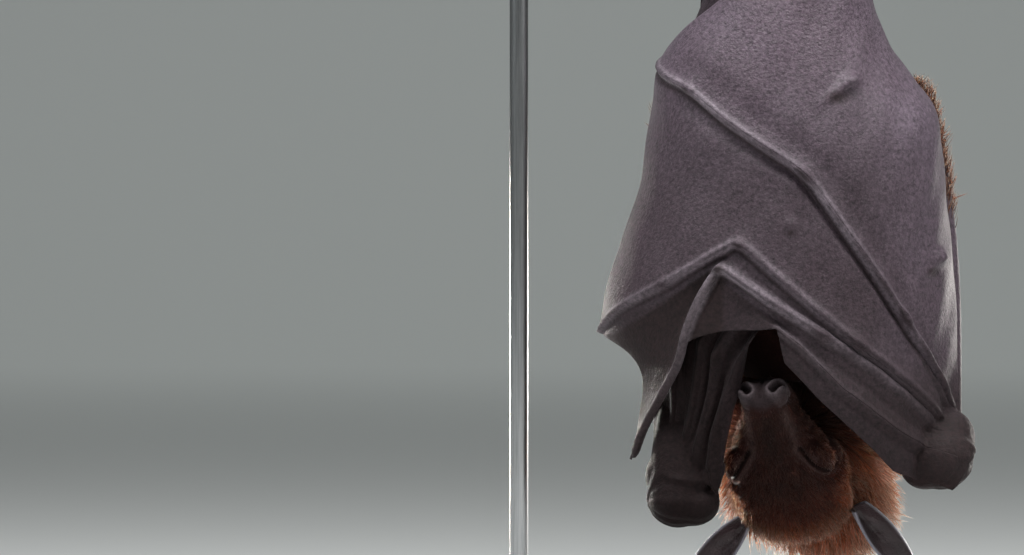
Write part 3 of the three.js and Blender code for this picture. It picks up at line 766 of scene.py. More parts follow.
def finger_ends(wing):
    """The last bone of the longer fingers, rounded, where it reaches the sheet's edge."""
    ends = []
    for digit, first, radius in ((3, 0.5, 1.9), (4, 0.84, 1.2)):
        line = wrap(eased_along(wing["fingers"][digit], np.linspace(first, 1, 7)))
        line += outward(line) * 0.3
        ends.append(limb(f"end_{digit}", [(point, radius, radius) for point in line], segments=14, rings=40))
    return ends


def wrist_folds(wing, webs, rows, columns):
    """The first stretch of each sheet again, thicker and sinking away row by row, so that once it is
    melted together with the wrist the skin seems to flow out of it."""
    folds = []
    for name in ("arm", "outer", "middle", "inner", "lead"):
        count = round(rows[name] * WRIST_SHARE)
        first = webs[name].reshape(rows[name] + 1, columns[name] + 1, 3)[:count + 1].reshape(-1, 3)
        share = np.repeat(np.arange(count + 1) / count, columns[name] + 1)
        points = raise_over_bones(wing, wrap(first))
        points -= outward(points) * (0.7 + 2.2 * share)[:, None]
        fold = grid_mesh(f"{name}_fold", points, count, columns[name])
        apply_modifier(fold, "SOLIDIFY", thickness=2.2 * MM, offset=0)
        folds.append(fold)
    return folds


def arm_bones(wing, folds):
    name, side = wing["name"], wing["sign"]
    shoulder, elbow, wrist = (np.array(wing[part], float) for part in ("shoulder", "elbow", "wrist"))
    middle = (shoulder + elbow) / 2
    fore = forearm_point(wing, [0.25, 0.55])
    upper = limb("upper", [(shoulder, 9, 8), (middle, 8, 7.5), (elbow, 5.9, 5.7)])
    lower = limb("lower", [(elbow, 5.6, 5.6), (fore[0], 6.1, 6.1), (fore[1], 4.9, 4.9), (wrist, 4.8, 4.8)])
    centre, radii = (np.array(part, float) for part in wing["lobe"])
    lobe = round_lump("lobe", centre, radii * LOBE_SHARE)
    shoulder_lump = round_lump("lobe_top", centre + (side * 3.2, 3, 8), radii * (0.72, 0.75, 0.8))
    lower_lump = round_lump("lobe_low", centre + (-side * 6, -1.5, -2.5), radii * (0.72, 0.75, 0.66))
    thumb = limb("thumb", [
        (centre + (side * 4, 5, -6), 3.2, 3.2),
        (centre + (side * 4.6, 13, -5), 2.8, 2.8),
        (centre + (side * 5, 20, -3), 2.3, 2.3),
        (centre + (side * 5, 28, 0.4), 2.0, 2.0),
    ], segments=16, rings=20)
    parts = [upper, lower, lobe, shoulder_lump, lower_lump, thumb, *folds, *finger_ends(wing)]
    if wing is LEFT:
        parts.append(limb("wrist_top", [
            (centre, 11.5, 12), (centre + (0.5, 1.5, 14), 11, 10.5),
            (centre + (1.5, 5, 28), 9.5, 7.5), (centre + (2.5, 10, 42), 7, 5),
        ]))
    arm = join(f"arm_{name}", *parts)
    apply_modifier(arm, "REMESH", mode="VOXEL", voxel_size=0.8 * MM)
    apply_modifier(arm, "SMOOTH", factor=0.5, iterations=9)
    points = corners(arm) / MM
    away = points - centre
    round_it = np.arctan2(away[:, 2] * side + away[:, 0] * 0.2, away[:, 1])
    near = bell(np.linalg.norm(away, axis=1), 17)
    crease = 0.55 * np.sin(5 * round_it + 0.12 * away[:, 0]) + 0.3 * np.sin(13 * round_it + away[:, 0] / 5)
    move_corners(arm, (points + corner_normals(arm) * (crease * near)[:, None]) * MM)
    return arm


def build_wing(wing):
    webs, rows, columns = wing_webs(wing)
    folds = wrist_folds(wing, webs, rows, columns)
    sheets = []
    for name, places in webs.items():
        points = raise_over_bones(wing, wrap(places))
        start = np.repeat(np.arange(rows[name] + 1) / rows[name], columns[name] + 1)
        points -= outward(points) * (2.4 * (1 - rise(start, 0, 0.07)))[:, None]
        sheets.append(grid_mesh(name, points, rows[name], columns[name]))
    for name, (points, row_count, column_count) in (("flank", flank_skin(wing)), ("bend", bend_skin(wing))):
        sheets.append(grid_mesh(name, points, row_count, column_count))
    skin = join(f"wing_skin_{wing['name']}", *sheets)
    in_edit_mode(skin, lambda: merge_close(0.02 * MM), face_outwards)
    apply_modifier(skin, "SOLIDIFY", thickness=SHEET_THICKNESS * MM, offset=0)
    smooth_shading(skin)
    arm = arm_bones(wing, folds)
    smooth_shading(arm)
    report(arm)
    report(skin)
    return skin, arm


wing_pieces = {wing["name"]: build_wing(wing) for wing in (RIGHT, LEFT)}

# %% Wing finishes and nodes
def height_attribute(piece, name, values):
    layer = piece.data.attributes.new(name, "FLOAT", "POINT")
    layer.data.foreach_set("value", np.asarray(values, dtype=np.float32))


# How far either side of each finger's line its painted highlight stays at full strength, in mm.
RIDGE_HIGHLIGHT_CORE = {5: 0.3, 4: 0.2, 3: 0.9, 2: 0}
# (x, z, half width, half height) in mm of painted shadows in the hollows beneath the pressed knuckles
KNUCKLE_SHADOWS = [(14, 256, 5.5, 3.0), (50, 191.5, 3.5, 2.2), (-4, 205.6, 3.5, 1.4)]


def dress_wing(wing, skin, arm, finish):
    side = wing["name"]
    for piece in (skin, arm):
        points = corners(piece) / MM
        x, y, z = points.T
        # Darker and browner lower down: partly the skin's own browner colour, partly painted shade where the
        # overhead light reaches less; on the outer wing a little less so towards its right side.
        if wing is RIGHT:
            brown_and_shade = 0.58 * rise(-z, -285, -215) + 0.34 * rise(-z, -205, -132)
            brown_and_shade -= 0.3 * rise(x, 20, 42) * rise(z, 140, 170)
        else:
            brown_and_shade = 0.97 * rise(-z, -240, -200)
        # Painted shade, with some browner skin: the stretches lying below the ridges of the third and fourth
        # fingers, where the ridges above overhang.
        tip_line = 203 + (x + 23) * 0.68
        panel = rise(-x, 21, 30) * rise(tip_line - z, 1.5, 5) * (y < 0)
        bone_line = 194.3 - (x + 30.7) * 0.776
        inner = 0.88 * rise(bone_line - z, 2, 6) * (y < 0) * (1 - 0.4 * rise(x, 15, 40)) * (x > -33)
        panel = np.maximum(panel, inner)
        under_knuckle = rise(-x, -2, 20) * rise(-z, -186, -176) * (y < 0)
        ridge_highlight = np.zeros(len(points))
        # Painted shadow below each under-wing knuckle that presses through the outer wing.
        for mark_x, mark_z, wide, high in KNUCKLE_SHADOWS:
            shade = bell(np.hypot((x - mark_x) / wide, (z - mark_z) / high), 1) * (y < 0)
            brown_and_shade = np.maximum(brown_and_shade, 0.95 * shade * (wing is RIGHT))
        brown_and_shade = np.clip(np.maximum(brown_and_shade, np.maximum(panel, 0.8 * under_knuckle)), 0, 1)
        # The under wing is never lighter than this: painted shade for the shadow it hangs in, with its browner skin.
        if wing is LEFT:
            brown_and_shade = np.maximum(brown_and_shade, 0.7)
        # The wrist lobe is darkened all over: dark brown skin and painted shade together.
        lobe_gap = np.linalg.norm(points - np.array(wing["lobe"][0], float), axis=1)
        brown_and_shade = np.maximum(brown_and_shade, 1.0 * bell(np.maximum(lobe_gap - 15, 0), 10))
        for digit, chain in wing["fingers"].items():
            gap, where, beneath = distance_to_chain(points, chain)
            # Painted shadow in a narrow band just beneath each finger's ridge.
            brown_and_shade = np.maximum(brown_and_shade, 0.85 * bell(gap - 2.9, 1.5) * beneath)
            # Painted highlight along each bone ridge, only on the upper parts that the overhead light catches, and
            # only faintly on the under wing.
            lit_from_above = np.maximum(rise(z, 125, 215), 0.1 * rise(-x, 24, 32))
            highlighted = bell(np.maximum(gap - RIDGE_HIGHLIGHT_CORE[digit], 0), 1.2) * 0.85 * lit_from_above
            ridge_highlight = np.maximum(ridge_highlight, highlighted if wing is RIGHT else 0.15 * highlighted)
        height_attribute(piece, "brown_and_shade", brown_and_shade)
        height_attribute(piece, "ridge_highlight", ridge_highlight)
        piece.data.materials.clear()
        piece.data.materials.append(finish)
        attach(piece, "root")
    webs = ("arm_membrane", "hand_membrane_outer", "hand_membrane_middle", "hand_membrane_inner",
            "leading_membrane", "flank_membrane", "bend_membrane", "finger_5", "finger_4", "finger_3", "finger_2")
    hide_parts(*[f"{node}_{side}" for node in webs])
    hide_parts(*[f"{node}_{side}" for node in ("upper_arm", "forearm", "wrist", "thumb")])


dress_wing(RIGHT, *wing_pieces["right"], wing_finish("outer_wing_skin", WING_SHADED_BROWN, 0.22))
# The under wing takes a darker, duller copy of the skin: painted shade for the shadow it hangs in.
dress_wing(LEFT, *wing_pieces["left"], wing_finish("shaded_under_wing_skin", UNDER_SHADED_BROWN, 0.10))

# %% [markdown]
# ## The head's own directions
# The bat hangs head down with its nose lifted towards the belly, so the head leans in every
# direction of the room. Its features are therefore placed in its own directions: how far behind the
# nose tip, how far to the side, and how far towards the crown.

# %% Head directions and outline
NOSE_TIP = np.array([-14.8, -43, 149.5])
HEAD_LENGTH = 73
HEAD_ROLL = math.radians(7.8)
AHEAD = np.array([-0.25, -0.61, 0.75]) / np.linalg.norm([-0.25, -0.61, 0.75])
level = np.array([-AHEAD[1], AHEAD[0], 0]) / math.hypot(AHEAD[0], AHEAD[1])
LATERAL = level * math.cos(HEAD_ROLL) + np.cross(AHEAD, level) * math.sin(HEAD_ROLL)
CROWN = np.cross(LATERAL, AHEAD)

# Share behind the nose, half width, height above and below, coat included.
HEAD = [
    [0, 6, 4.2, 6.2],
    [0.03, 8.2, 6, 8.8],
    [0.1, 9.3, 6.8, 10.2],
    [0.17, 10.8, 7.4, 10.6],
    [0.29, 15.4, 8.8, 11],
    [0.43, 20.4, 11.6, 13],
    [0.58, 24.6, 15.6, 15.6],
    [0.72, 25.4, 18.4, 18],
    [0.86, 24, 17.8, 18.6],
    [0.95, 17.4, 13.4, 15],
    [1, 11.5, 8.5, 10],
]
# How deep the coat stands over the skin along the head.
HEAD_COAT = [[0, 0.3], [0.08, 0.5], [0.3, 1.2], [0.5, 2.4], [0.7, 4.2], [1, 5.5]]


def on_head(behind, aside, up):
    behind, aside, up = (np.asarray(v, float)[..., None] for v in (behind, aside, up))
    return NOSE_TIP - AHEAD * behind + LATERAL * aside + CROWN * up


def head_places(points):
    """How far behind the nose tip, aside and towards the crown each point lies, in mm."""
    away = points - NOSE_TIP
    return -(away @ AHEAD), away @ LATERAL, away @ CROWN


def skull_place(t, x, y):
    half, above, below = smooth_at(HEAD, t).T
    coat = smooth_at(HEAD_COAT, t)[:, 0]
    height = np.where(y > 0, above, below) - coat
    return on_head(t * HEAD_LENGTH, x * (half - coat), y * height) * MM


print("head leans", np.round(np.degrees(np.arccos(AHEAD[2]))), "degrees from upright")

# %% [markdown]
# ## One skin for head and body
# A real bat has one skin from nose to heel. Modelling each part apart would leave seams at the neck
# and hips, so balls are drawn out into neck, trunk and legs, joined, and a voxel remesh then melts
# them into one closed skin. It lies inside the solids by the depth of the coat.

# %% Body skin
EYE = {"behind": 33.5, "aside": 15.2, "up": 5.8, "radii": (6.2, 7.6, 4.6)}
FEET_MIDDLE = -5
LEG = {"hip": (15, 10, 297), "knee": (20, 2, 331), "ankle": (11, 9, 374)}


def leg_point(joint, sign):
    spread, y, z = LEG[joint]
    return np.array([FEET_MIDDLE + sign * spread, y, z], float)


def ball(name, centre, radii, segments=24, rings=16):
    deselect()
    bpy.ops.mesh.primitive_uv_sphere_add(segments=segments, ring_count=rings, radius=1)
    piece = bpy.context.object
    piece.name = name
    local = corners(piece) * np.array(radii)
    turned = local[:, :1] * LATERAL + local[:, 1:2] * AHEAD + local[:, 2:] * CROWN
    move_corners(piece, (turned + centre) * MM)
    return piece


def body_parts():
    parts = [bent_ball("skull", skull_place, 56, 60)]
    for sign in (-1, 1):
        parts.append(ball("lid", on_head(EYE["behind"], sign * EYE["aside"], EYE["up"]), EYE["radii"]))
        parts.append(ball("nostril", on_head(3.0, sign * 5.0, 0.2), (4.1, 3.7, 4.5)))
        parts.append(ball("cheek", on_head(43, sign * 17, -3), (5.5, 10, 7)))
        parts.append(ball("lip", on_head(13, sign * 6.3, -4.6), (4.2, 12, 3.6)))
        hip, knee, ankle = (leg_point(joint, sign) for joint in ("hip", "knee", "ankle"))
        parts.append(limb("thigh", [(hip, 8, 8), ((hip + knee) / 2, 6.6, 6.2), (knee + (0, 0, 3), 4.2, 4)]))
        shin_middle = (knee + ankle) / 2
        parts.append(limb("shin", [(knee - (0, 0, 2), 4.4, 4.2), (shin_middle, 3.9, 3.6), (ankle, 3.4, 3.2)]))
    parts.append(limb("neck", [
        ((2, 12, 156), 27, 21), ((3, 13, 140), 27, 20), ((4.5, 13, 122), 27.5, 19),
        ((5.5, 11, 108), 27.5, 17), ((5, 9, 98), 23, 13.5), ((4, 8, 93), 10, 6),
    ], segments=56, rings=48))
    parts.append(limb("trunk", [
        ((-4, 10, 311), 9, 6), ((-4, 10, 303), 20, 15), ((-3, 10, 280), 26.5, 21.5),
        ((-1, 9, 245), 30.5, 26.5), ((1, 8, 205), 34.5, 30.5), ((2, 9, 170), 35, 30), ((2, 12, 150), 29, 23),
    ], segments=64, rings=80))
    return parts


bat_skin = join("bat_skin", *body_parts())
apply_modifier(bat_skin, "REMESH", mode="VOXEL", voxel_size=1.15 * MM)
apply_modifier(bat_skin, "SMOOTH", factor=0.5, iterations=5)
FACE_BEHIND = 46
behind, aside, up = head_places(corners(bat_skin) / MM)
face_corner = (behind < FACE_BEHIND) & (np.abs(aside) < 30) & (np.abs(up) < 24)
for polygon in bat_skin.data.polygons:
    polygon.select = all(face_corner[i] for i in polygon.vertices)
bpy.ops.object.mode_set(mode="EDIT")
bpy.ops.mesh.select_mode(type="FACE")
bpy.ops.mesh.subdivide(number_cuts=1, smoothness=0.2)
bpy.ops.object.mode_set(mode="OBJECT")
report(bat_skin)

# %% [markdown]
# ## The face
# The remeshed skin is only a smooth head. The nostrils, the groove between them, the mouth, the
# closed lids and the creases are pushed in or drawn out corner by corner along the skin's own
# normals, which is what a sculpting brush does, but by named measures.

# %% Sculpting the face
NOSTRIL_DEPTH = 3.2
LID_SLIT = ((27, 10), (39, 20.4))


def line_gap(u, v, start, end):
    """The distance from (u, v) to the stretch from start to end, and the share along it."""
    start, end = np.array(start, float), np.array(end, float)
    step = end - start
    share = np.clip(((u - start[0]) * step[0] + (v - start[1]) * step[1]) / (step @ step), 0, 1)
    return np.hypot(u - start[0] - share * step[0], v - start[1] - share * step[1]), share


def face_relief(points):
    """How far the skin stands out (+) or in (-) at each point, in mm."""
    behind, aside, up = head_places(points)
    side = np.abs(aside)
    front_side = (behind < 9) & (np.abs(up) < 14)
    relief = np.zeros(len(points))
    pit, share = line_gap(side, up, (4.9, 1.7), (7.1, -0.9))
    pit_width = 1.25 - 0.35 * share
    relief -= NOSTRIL_DEPTH * bell(pit, pit_width) * front_side
    relief += 0.7 * bell(pit - 2.2, 0.6) * front_side * (behind < 7)
    relief -= 0.8 * bell(aside, 0.55) * (behind < 6) * (up < 4.5)
    relief -= 0.35 * bell(aside, 1.5) * (behind < 8)
    for wrinkle in (-2.1, -1.1, 1.1, 2.1, 3.2):
        relief -= 0.22 * bell(aside - wrinkle, 0.25) * bell(up + 5, 2.6) * (behind < 8)
    mouth = up + 5.4 + 0.05 * behind
    open_line = np.clip((36 - behind) / 6, 0, 1) * (up < 0)
    relief -= 1.1 * bell(mouth, 0.55) * open_line
    relief += 0.35 * bell(mouth - 1.6, 0.9) * open_line * (behind > 3)
    bridge = bell(aside, 3.2) * np.clip((behind - 6) / 6, 0, 1) * np.clip((36 - behind) / 8, 0, 1) * (up > 0)
    relief += 0.8 * bridge
    hollow = bell(side - 8.5, 3) * bell(behind - 21, 7) * (up > -2)
    relief -= 0.9 * hollow
    for number in range(7):
        gap, share = line_gap(side, behind, (8.4 + 0.5 * number, 8 + 3.4 * number), (13.5 + number, 13 + 4 * number))
        relief -= 0.22 * bell(gap, 0.45) * np.sin(np.pi * share) * (up > -4)
    pores = np.sin(behind * 2.9 + aside * 1.7) * np.sin(up * 3.3 - aside * 2.1)
    relief += 0.05 * pores * np.clip((30 - behind) / 10, 0, 1)
    return relief + eye_relief(behind, side, up)


def eye_relief(behind, side, up):
    """The closed lid: a slit that falls away from the nose, the lids' rims and the folds round them."""
    near = (np.abs(behind - EYE["behind"]) < 15) & (side > 4) & (up > -6)
    slit, share = line_gap(behind, side, *LID_SLIT)
    relief = -1.4 * bell(slit, 0.42) * near
    rim = np.sin(np.pi * np.clip(share, 0.02, 0.98)) ** 0.5
    relief += 0.45 * bell(slit - 1.0, 0.5) * rim * near
    for distance, width, depth in ((3.0, 0.45, 0.35), (4.7, 0.6, 0.5), (6.6, 0.8, 0.45)):
        relief -= depth * bell(slit - distance, width) * near
    brow, share = line_gap(behind, side, (34, 6.5), (45, 18))
    relief += 0.9 * bell(brow, 2.2) * near
    corner_gap, share = line_gap(behind, side, (23, 8), (27, 10))
    relief -= 0.8 * bell(corner_gap, 0.6) * near
    return relief


for _ in range(2):
    places = corners(bat_skin) / MM
    moved = places + corner_normals(bat_skin) * (face_relief(places) / 2)[:, None]
    move_corners(bat_skin, moved * MM)
smooth_shading(bat_skin)
report(bat_skin)

# %% [markdown]
# ## Markings
# Skin and coat must agree, or the skin would shine through between tufts in another colour. So one
# function says the coat's colour at any place, and both store what it says in a colour attribute.

# %% Markings
FACE_BROWN = np.array([0.024, 0.0072, 0.0056])
LID_GLINT_HIGHLIGHT = np.array([0.085, 0.058, 0.056])
NOSTRIL_RIM_HIGHLIGHT = np.array([0.21, 0.17, 0.185])
NOSE_GREY = np.array([0.034, 0.023, 0.025])
FOLD_GREY = np.array([0.085, 0.052, 0.048])
CROWN_RED = np.array([0.072, 0.018, 0.011])
MANTLE_ORANGE = np.array([0.46, 0.094, 0.038])
BACK_BROWN = np.array([0.060, 0.025, 0.019])
TIP_CREAM = np.array([0.90, 0.58, 0.40])


def mottle(points, size):
    x, y, z = (points / size).T
    return (np.sin(x + 2.1 * np.sin(z * 0.7)) * np.sin(y * 1.3 + 1.7 * np.sin(x * 0.6)) * np.sin(z * 1.1 + x * 0.4))


def paint(base, colour, share):
    return base * (1 - share[:, None]) + colour * share[:, None]


def coat_colour(points):
    """The coat's colour at each place on the skin, with painted highlights on the nostril rims and
    the lids, and painted shade in the nostrils and the lid slit.
    """
    behind, aside, up = head_places(points)
    x, y, z = points.T
    uneven = 1 + 0.16 * mottle(points, 3.1) + 0.10 * mottle(points + 7, 1.3)
    colour = paint(np.tile(FACE_BROWN, (len(points), 1)), CROWN_RED, rise(behind + 3 * mottle(points, 6), 38, 54))
    side_glow = rise(np.abs(aside) + 2 * mottle(points, 4), 14, 24) * rise(behind, 40, 54)
    mantle = np.maximum(rise(behind + 3 * mottle(points, 5), 52, 72), side_glow * 0.8)
    colour = paint(colour, MANTLE_ORANGE, mantle)
    colour = paint(colour, BACK_BROWN, rise(z + 6 * mottle(points, 9), 158, 205) * (y > -20))
    nose = rise(-behind - 0.25 * np.abs(aside) + 0.3 * np.maximum(up, 0), -7.2, -3) * (np.abs(up) < 15)
    colour = paint(colour, NOSE_GREY, nose)
    side = np.abs(aside)
    pit, share = line_gap(side, up, (4.9, 1.7), (7.1, -0.9))
    nose_end = (behind < 8) * (np.abs(up) < 12)
    # Painted highlight on the nostrils' rims.
    colour = paint(colour, NOSTRIL_RIM_HIGHLIGHT, 0.45 * bell(pit - 2.3, 0.7) * nose_end)
    # Painted shade in the nostril pits.
    colour = paint(colour, FACE_BROWN * 0.2, bell(pit, 1.0) * nose_end)
    muzzle = rise(behind, 7, 11) * (up > -2)
    fold = bell(side - 6 - 0.1 * behind + mottle(points, 4), 1.5) * muzzle * (1 - rise(behind, 24, 31))
    colour = paint(colour, FOLD_GREY, 0.55 * fold)
    colour = paint(colour, FACE_BROWN * 0.35, 0.8 * bell(side, 2.4) * muzzle * (1 - rise(behind, 22, 32)))
    slit, share = line_gap(behind, side, *LID_SLIT)
    lid = (side < 16) * (behind > 25 + 0.55 * (side - 8)) * (behind < 50) * (up > -4)
    # Painted highlight along the lid beside the slit.
    colour = paint(colour, LID_GLINT_HIGHLIGHT, 0.3 * bell(slit - 2.2, 1.1) * lid)
    # Painted shade in the lid slit.
    colour = paint(colour, FACE_BROWN * 0.15, 0.95 * bell(slit, 0.9) * (up > -8))
    return colour * uneven[:, None]


def tip_paleness(points):
    """How pale the hair tips are: cream round the mantle's rim, hardly at all on face and back."""
    behind, aside, up = head_places(points)
    z = points[:, 2]
    return 0.03 + 0.85 * rise(behind + 0.3 * np.abs(aside), 54, 76) * (1 - 0.8 * rise(z, 168, 200))


def colour_attribute(piece, name, colours):
    layer = piece.data.attributes.new(name, "FLOAT_COLOR", "POINT")
    rgba = np.ones((len(colours), 4), dtype=np.float32)
    rgba[:, :3] = colours
    layer.data.foreach_set("color", rgba.ravel())


def pelt_finish():
    """The skin under the coat: the coat's colour, darker, with fine short hair as bump."""
    material, nodes, links, shader = new_material("pelt_skin")
    vector = object_coordinates(nodes, links)
    colour = attribute(nodes, "pelt", "Color")
    grain = ramp(nodes, links, noise(nodes, links, vector, 1300, 3), (0.3, 0.55), (0.7, 1.1))
    shaded = blend_colours(nodes, links, 1.0, colour, grain, "MULTIPLY")
    links.new(shaded, shader.inputs["Base Color"])
    hair = object_coordinates(nodes, links, (1, 1, 0.35))
    short = noise(nodes, links, hair, 1900, 3, 0.6)
    leather = nodes.new("ShaderNodeTexVoronoi")
    leather.inputs["Scale"].default_value = 1500
    links.new(vector, leather.inputs["Vector"])
    first = bump(nodes, links, short, 0.45, 0.0006)
    second = bump(nodes, links, leather.outputs["Distance"], 0.2, 0.0003, first)
    links.new(second, shader.inputs["Normal"])
    shader.inputs["Roughness"].default_value = 0.75
    shader.inputs["Specular IOR Level"].default_value = 0.08
    shader.inputs["Sheen Weight"].default_value = 0.02
    return material


colour_attribute(bat_skin, "pelt", coat_colour(corners(bat_skin) / MM) * 0.8)
bat_skin.data.materials.clear()
bat_skin.data.materials.append(pelt_finish())
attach(bat_skin, "root")
LIMB_NODES = [f"{part}_{side}" for part in ("thigh", "shin", "eyelid") for side in ("left", "right")]
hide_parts("trunk", "neck", "head", "lower_jaw", "nose", *LIMB_NODES)

# %% [markdown]
# ## Ears, feet and claws
# An ear is a thin pointed leaf, cupped like a spoon. A grid bent to that shape and solidified gives
# a thin even rim, where a carved block would be lumpy. Feet are limbs melted together as the body
# is. Claws are horn, a harder and glossier stuff, so they stay pieces of their own.

# %% Ears
EAR = {"length": 37, "width": 12.5, "cup": 4.5, "lower": -2}
EARS = {
    "left": (-1, on_head(67, -22.5, 3), (-0.62, 0.22, -0.75)),
    "right": (1, on_head(64, 25, 3), (0.6, 0.25, -0.76)),
}


EAR_RIM = (0.26, 0.25, 0.30)


def bare_skin_finish():
    material, nodes, links, shader = new_material("bare_skin")
    vector = object_coordinates(nodes, links)
    tone = ramp(nodes, links, noise(nodes, links, vector, 120, 4), (0.3, (0.017, 0.007, 0.009)),
                (0.7, (0.044, 0.020, 0.024)))
    pale = blend_colours(nodes, links, attribute(nodes, "rim"), tone, EAR_RIM)
    links.new(pale, shader.inputs["Base Color"])
    scales = nodes.new("ShaderNodeTexVoronoi")
    scales.feature = "DISTANCE_TO_EDGE"
    scales.inputs["Scale"].default_value = 900
    links.new(vector, scales.inputs["Vector"])
    cracks = ramp(nodes, links, scales.outputs["Distance"], (0.0, 0.0), (0.2, 1.0))
    first = bump(nodes, links, noise(nodes, links, vector, 1200, 3), 0.25, 0.0005)
    links.new(bump(nodes, links, cracks, 0.3, 0.0004, first), shader.inputs["Normal"])
    shader.inputs["Roughness"].default_value = 0.46
    shader.inputs["Sheen Weight"].default_value = 0.15
    return material


def horn_finish():
    material, nodes, links, shader = new_material("horn")
    vector = object_coordinates(nodes, links, (1, 1, 0.3))
    tone = ramp(nodes, links, noise(nodes, links, vector, 700, 3), (0.35, (0.012, 0.009, 0.008)),
                (0.7, (0.045, 0.034, 0.028)))
    links.new(tone, shader.inputs["Base Color"])
    links.new(bump(nodes, links, noise(nodes, links, vector, 2500, 2), 0.12, 0.0002), shader.inputs["Normal"])
    shader.inputs["Roughness"].default_value = 0.3
    return material


def ear_frame(side):
    sign, root, tipwards = EARS[side]
    tip = np.array(tipwards) / np.linalg.norm(tipwards)
    facing = np.array([sign * 0.55, -0.83, 0])
    facing -= tip * (facing @ tip)
    facing /= np.linalg.norm(facing)
    return np.array(root) + tip * EAR["lower"], tip, facing, np.cross(tip, facing)


def ear_width(t):
    return EAR["width"] * np.sin(np.pi * (0.12 + 0.86 * t)) ** 0.8


def ear_leaf(side):
    root, tip, facing, breadth = ear_frame(side)

    def place(t, u):
        t = t[:, None]
        v = 2 * u[:, None] - 1
        width = ear_width(t)
        hollow = EAR["cup"] * (1 - v * v) * (1 - 0.6 * t)
        rolled = 1.3 * np.abs(v) ** 6 * (1 - t)
        ribs = 0.12 * np.sin(34 * t + 3 * v) * (1 - v * v) + 0.25 * bell(v + 0.15, 0.08) * (1 - t)
        return (root + tip * t * EAR["length"] + breadth * v * width / 2
                + facing * (3 * t * t - hollow + rolled + ribs)) * MM

    return place


BARE_FINISH = bare_skin_finish()
for side in EARS:
    ear = bent_grid(f"ear_skin_{side}", ear_leaf(side), 64, 40)
    in_edit_mode(ear, merge_close, face_outwards)
    apply_modifier(ear, "SOLIDIFY", thickness=1.0 * MM, offset=0)
    smooth_shading(ear)
    root, tip, facing, breadth = ear_frame(side)
    away = corners(ear) / MM - root
    half = ear_width(np.clip(away @ tip / EAR["length"], 0, 0.98)) / 2
    height_attribute(ear, "rim", rise(np.abs(away @ breadth) / half, 0.86, 0.98))
    ear.data.materials.append(BARE_FINISH)
    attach(ear, "root")
    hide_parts(f"ear_{side}")
    report(ear)

# %% Perch measures
PERCH = {"length": 236, "radius": 8.5, "y": -7, "z": 397}
TOES = {"count": 5, "pitch": 4.1, "radius": 1.65}


def perch_middle(x):
    return np.stack([x, np.full_like(x, PERCH["y"]), PERCH["z"] + 1.2 * np.sin(x / 31) - 0.6], -1)


def perch_radius(x):
    return PERCH["radius"] * (1 - x / 2200)


# %% Feet and claws
TOE_START, CLAW_ROOT, CLAW_TIP = -8, 98, 186


def toe_point(x, angle, out):
    turn = math.radians(angle)
    return perch_middle(np.array([x]))[0] + np.array([0, out * math.cos(turn), out * math.sin(turn)])


def foot_pieces(sign):
    ankle = leg_point("ankle", sign)
    sole = limb("sole", [
        (ankle - (0, 0, 1), 3.6, 3.4), (ankle + (0, -0.6, 9), 5.2, 3.1),
        (ankle + (0, -3.2, 17), 7.4, 2.4), (ankle + (0, -4.2, 22), 8.2, 1.9),
    ], segments=24, rings=24)
    toes, claws = [sole], []
    for i in range(TOES["count"]):
        x = ankle[0] + (i - 2) * TOES["pitch"]
        reach = PERCH["radius"] + TOES["radius"] + 0.9
        stops = []
        for k in range(9):
            angle = TOE_START + (CLAW_ROOT + 4 - TOE_START) * k / 8
            knuckle = 0.35 * bell(k - 3.4, 0.7) + 0.3 * bell(k - 6.6, 0.7)
            stops.append((toe_point(x, angle, reach + knuckle), TOES["radius"] + knuckle, TOES["radius"] + knuckle))
        toes.append(limb("toe", stops, segments=14, rings=36))
        stops = []
        for k in range(7):
            angle = CLAW_ROOT - 8 + (CLAW_TIP - CLAW_ROOT + 8) * k / 6
            out = reach + 2.3 * math.sin(math.pi * k / 6)
            radius = 1.35 - 1.1 * (k / 6) ** 1.3
            stops.append((toe_point(x, angle, out), radius * 0.75, radius))
        claws.append(limb("claw", stops, segments=14, rings=24))
    return toes, claws


HORN_FINISH = horn_finish()
for side, sign in (("left", -1), ("right", 1)):
    toes, claws = foot_pieces(sign)
    foot = join(f"foot_skin_{side}", *toes)
    apply_modifier(foot, "REMESH", mode="VOXEL", voxel_size=0.42 * MM)
    apply_modifier(foot, "SMOOTH", factor=0.5, iterations=3)
    claw = join(f"foot_claws_{side}", *claws)
    arm_wing = LEFT if side == "left" else RIGHT
    lobe = np.array(arm_wing["lobe"][0], float)
    thumb_claw = limb("thumb_horn", [
        (lobe + (sign * 5, 26, -0.4), 1.9, 1.9), (lobe + (sign * 4.8, 30, 1.8), 1.6, 1.6),
        (lobe + (sign * 4.2, 32.6, 4.6), 1.1, 1.1), (lobe + (sign * 3.5, 33, 8), 0.3, 0.3),
    ], segments=16, rings=24)
    thumb_claw = join(f"thumb_horn_{side}", thumb_claw)
    for piece, slot, node, finish in (
        (foot, "bare_skin", f"foot_{side}", BARE_FINISH),
        (claw, "claw", None, HORN_FINISH),
        (thumb_claw, "claw", f"thumb_claw_{side}", HORN_FINISH),
    ):
        smooth_shading(piece)
        piece.data.materials.clear()
        piece.data.materials.append(finish)
        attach(piece, "root")
        if node:
            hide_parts(node)
        report(piece)

# %% [markdown]
# ## Perch and stand
# The perch is a cut length of branch: rough bark round a pale sawn end. A ball drawn out along the
# branch gives clean rings for the bark's ridges and two flat ends. The stand stays plain, a stained
# board with eased edges and two drawn rods, so that it doesn't compete with the bat.

# %% Perch
CAP_SHARE = (1 - math.sqrt(1 - END_ROUNDING**2)) / 2


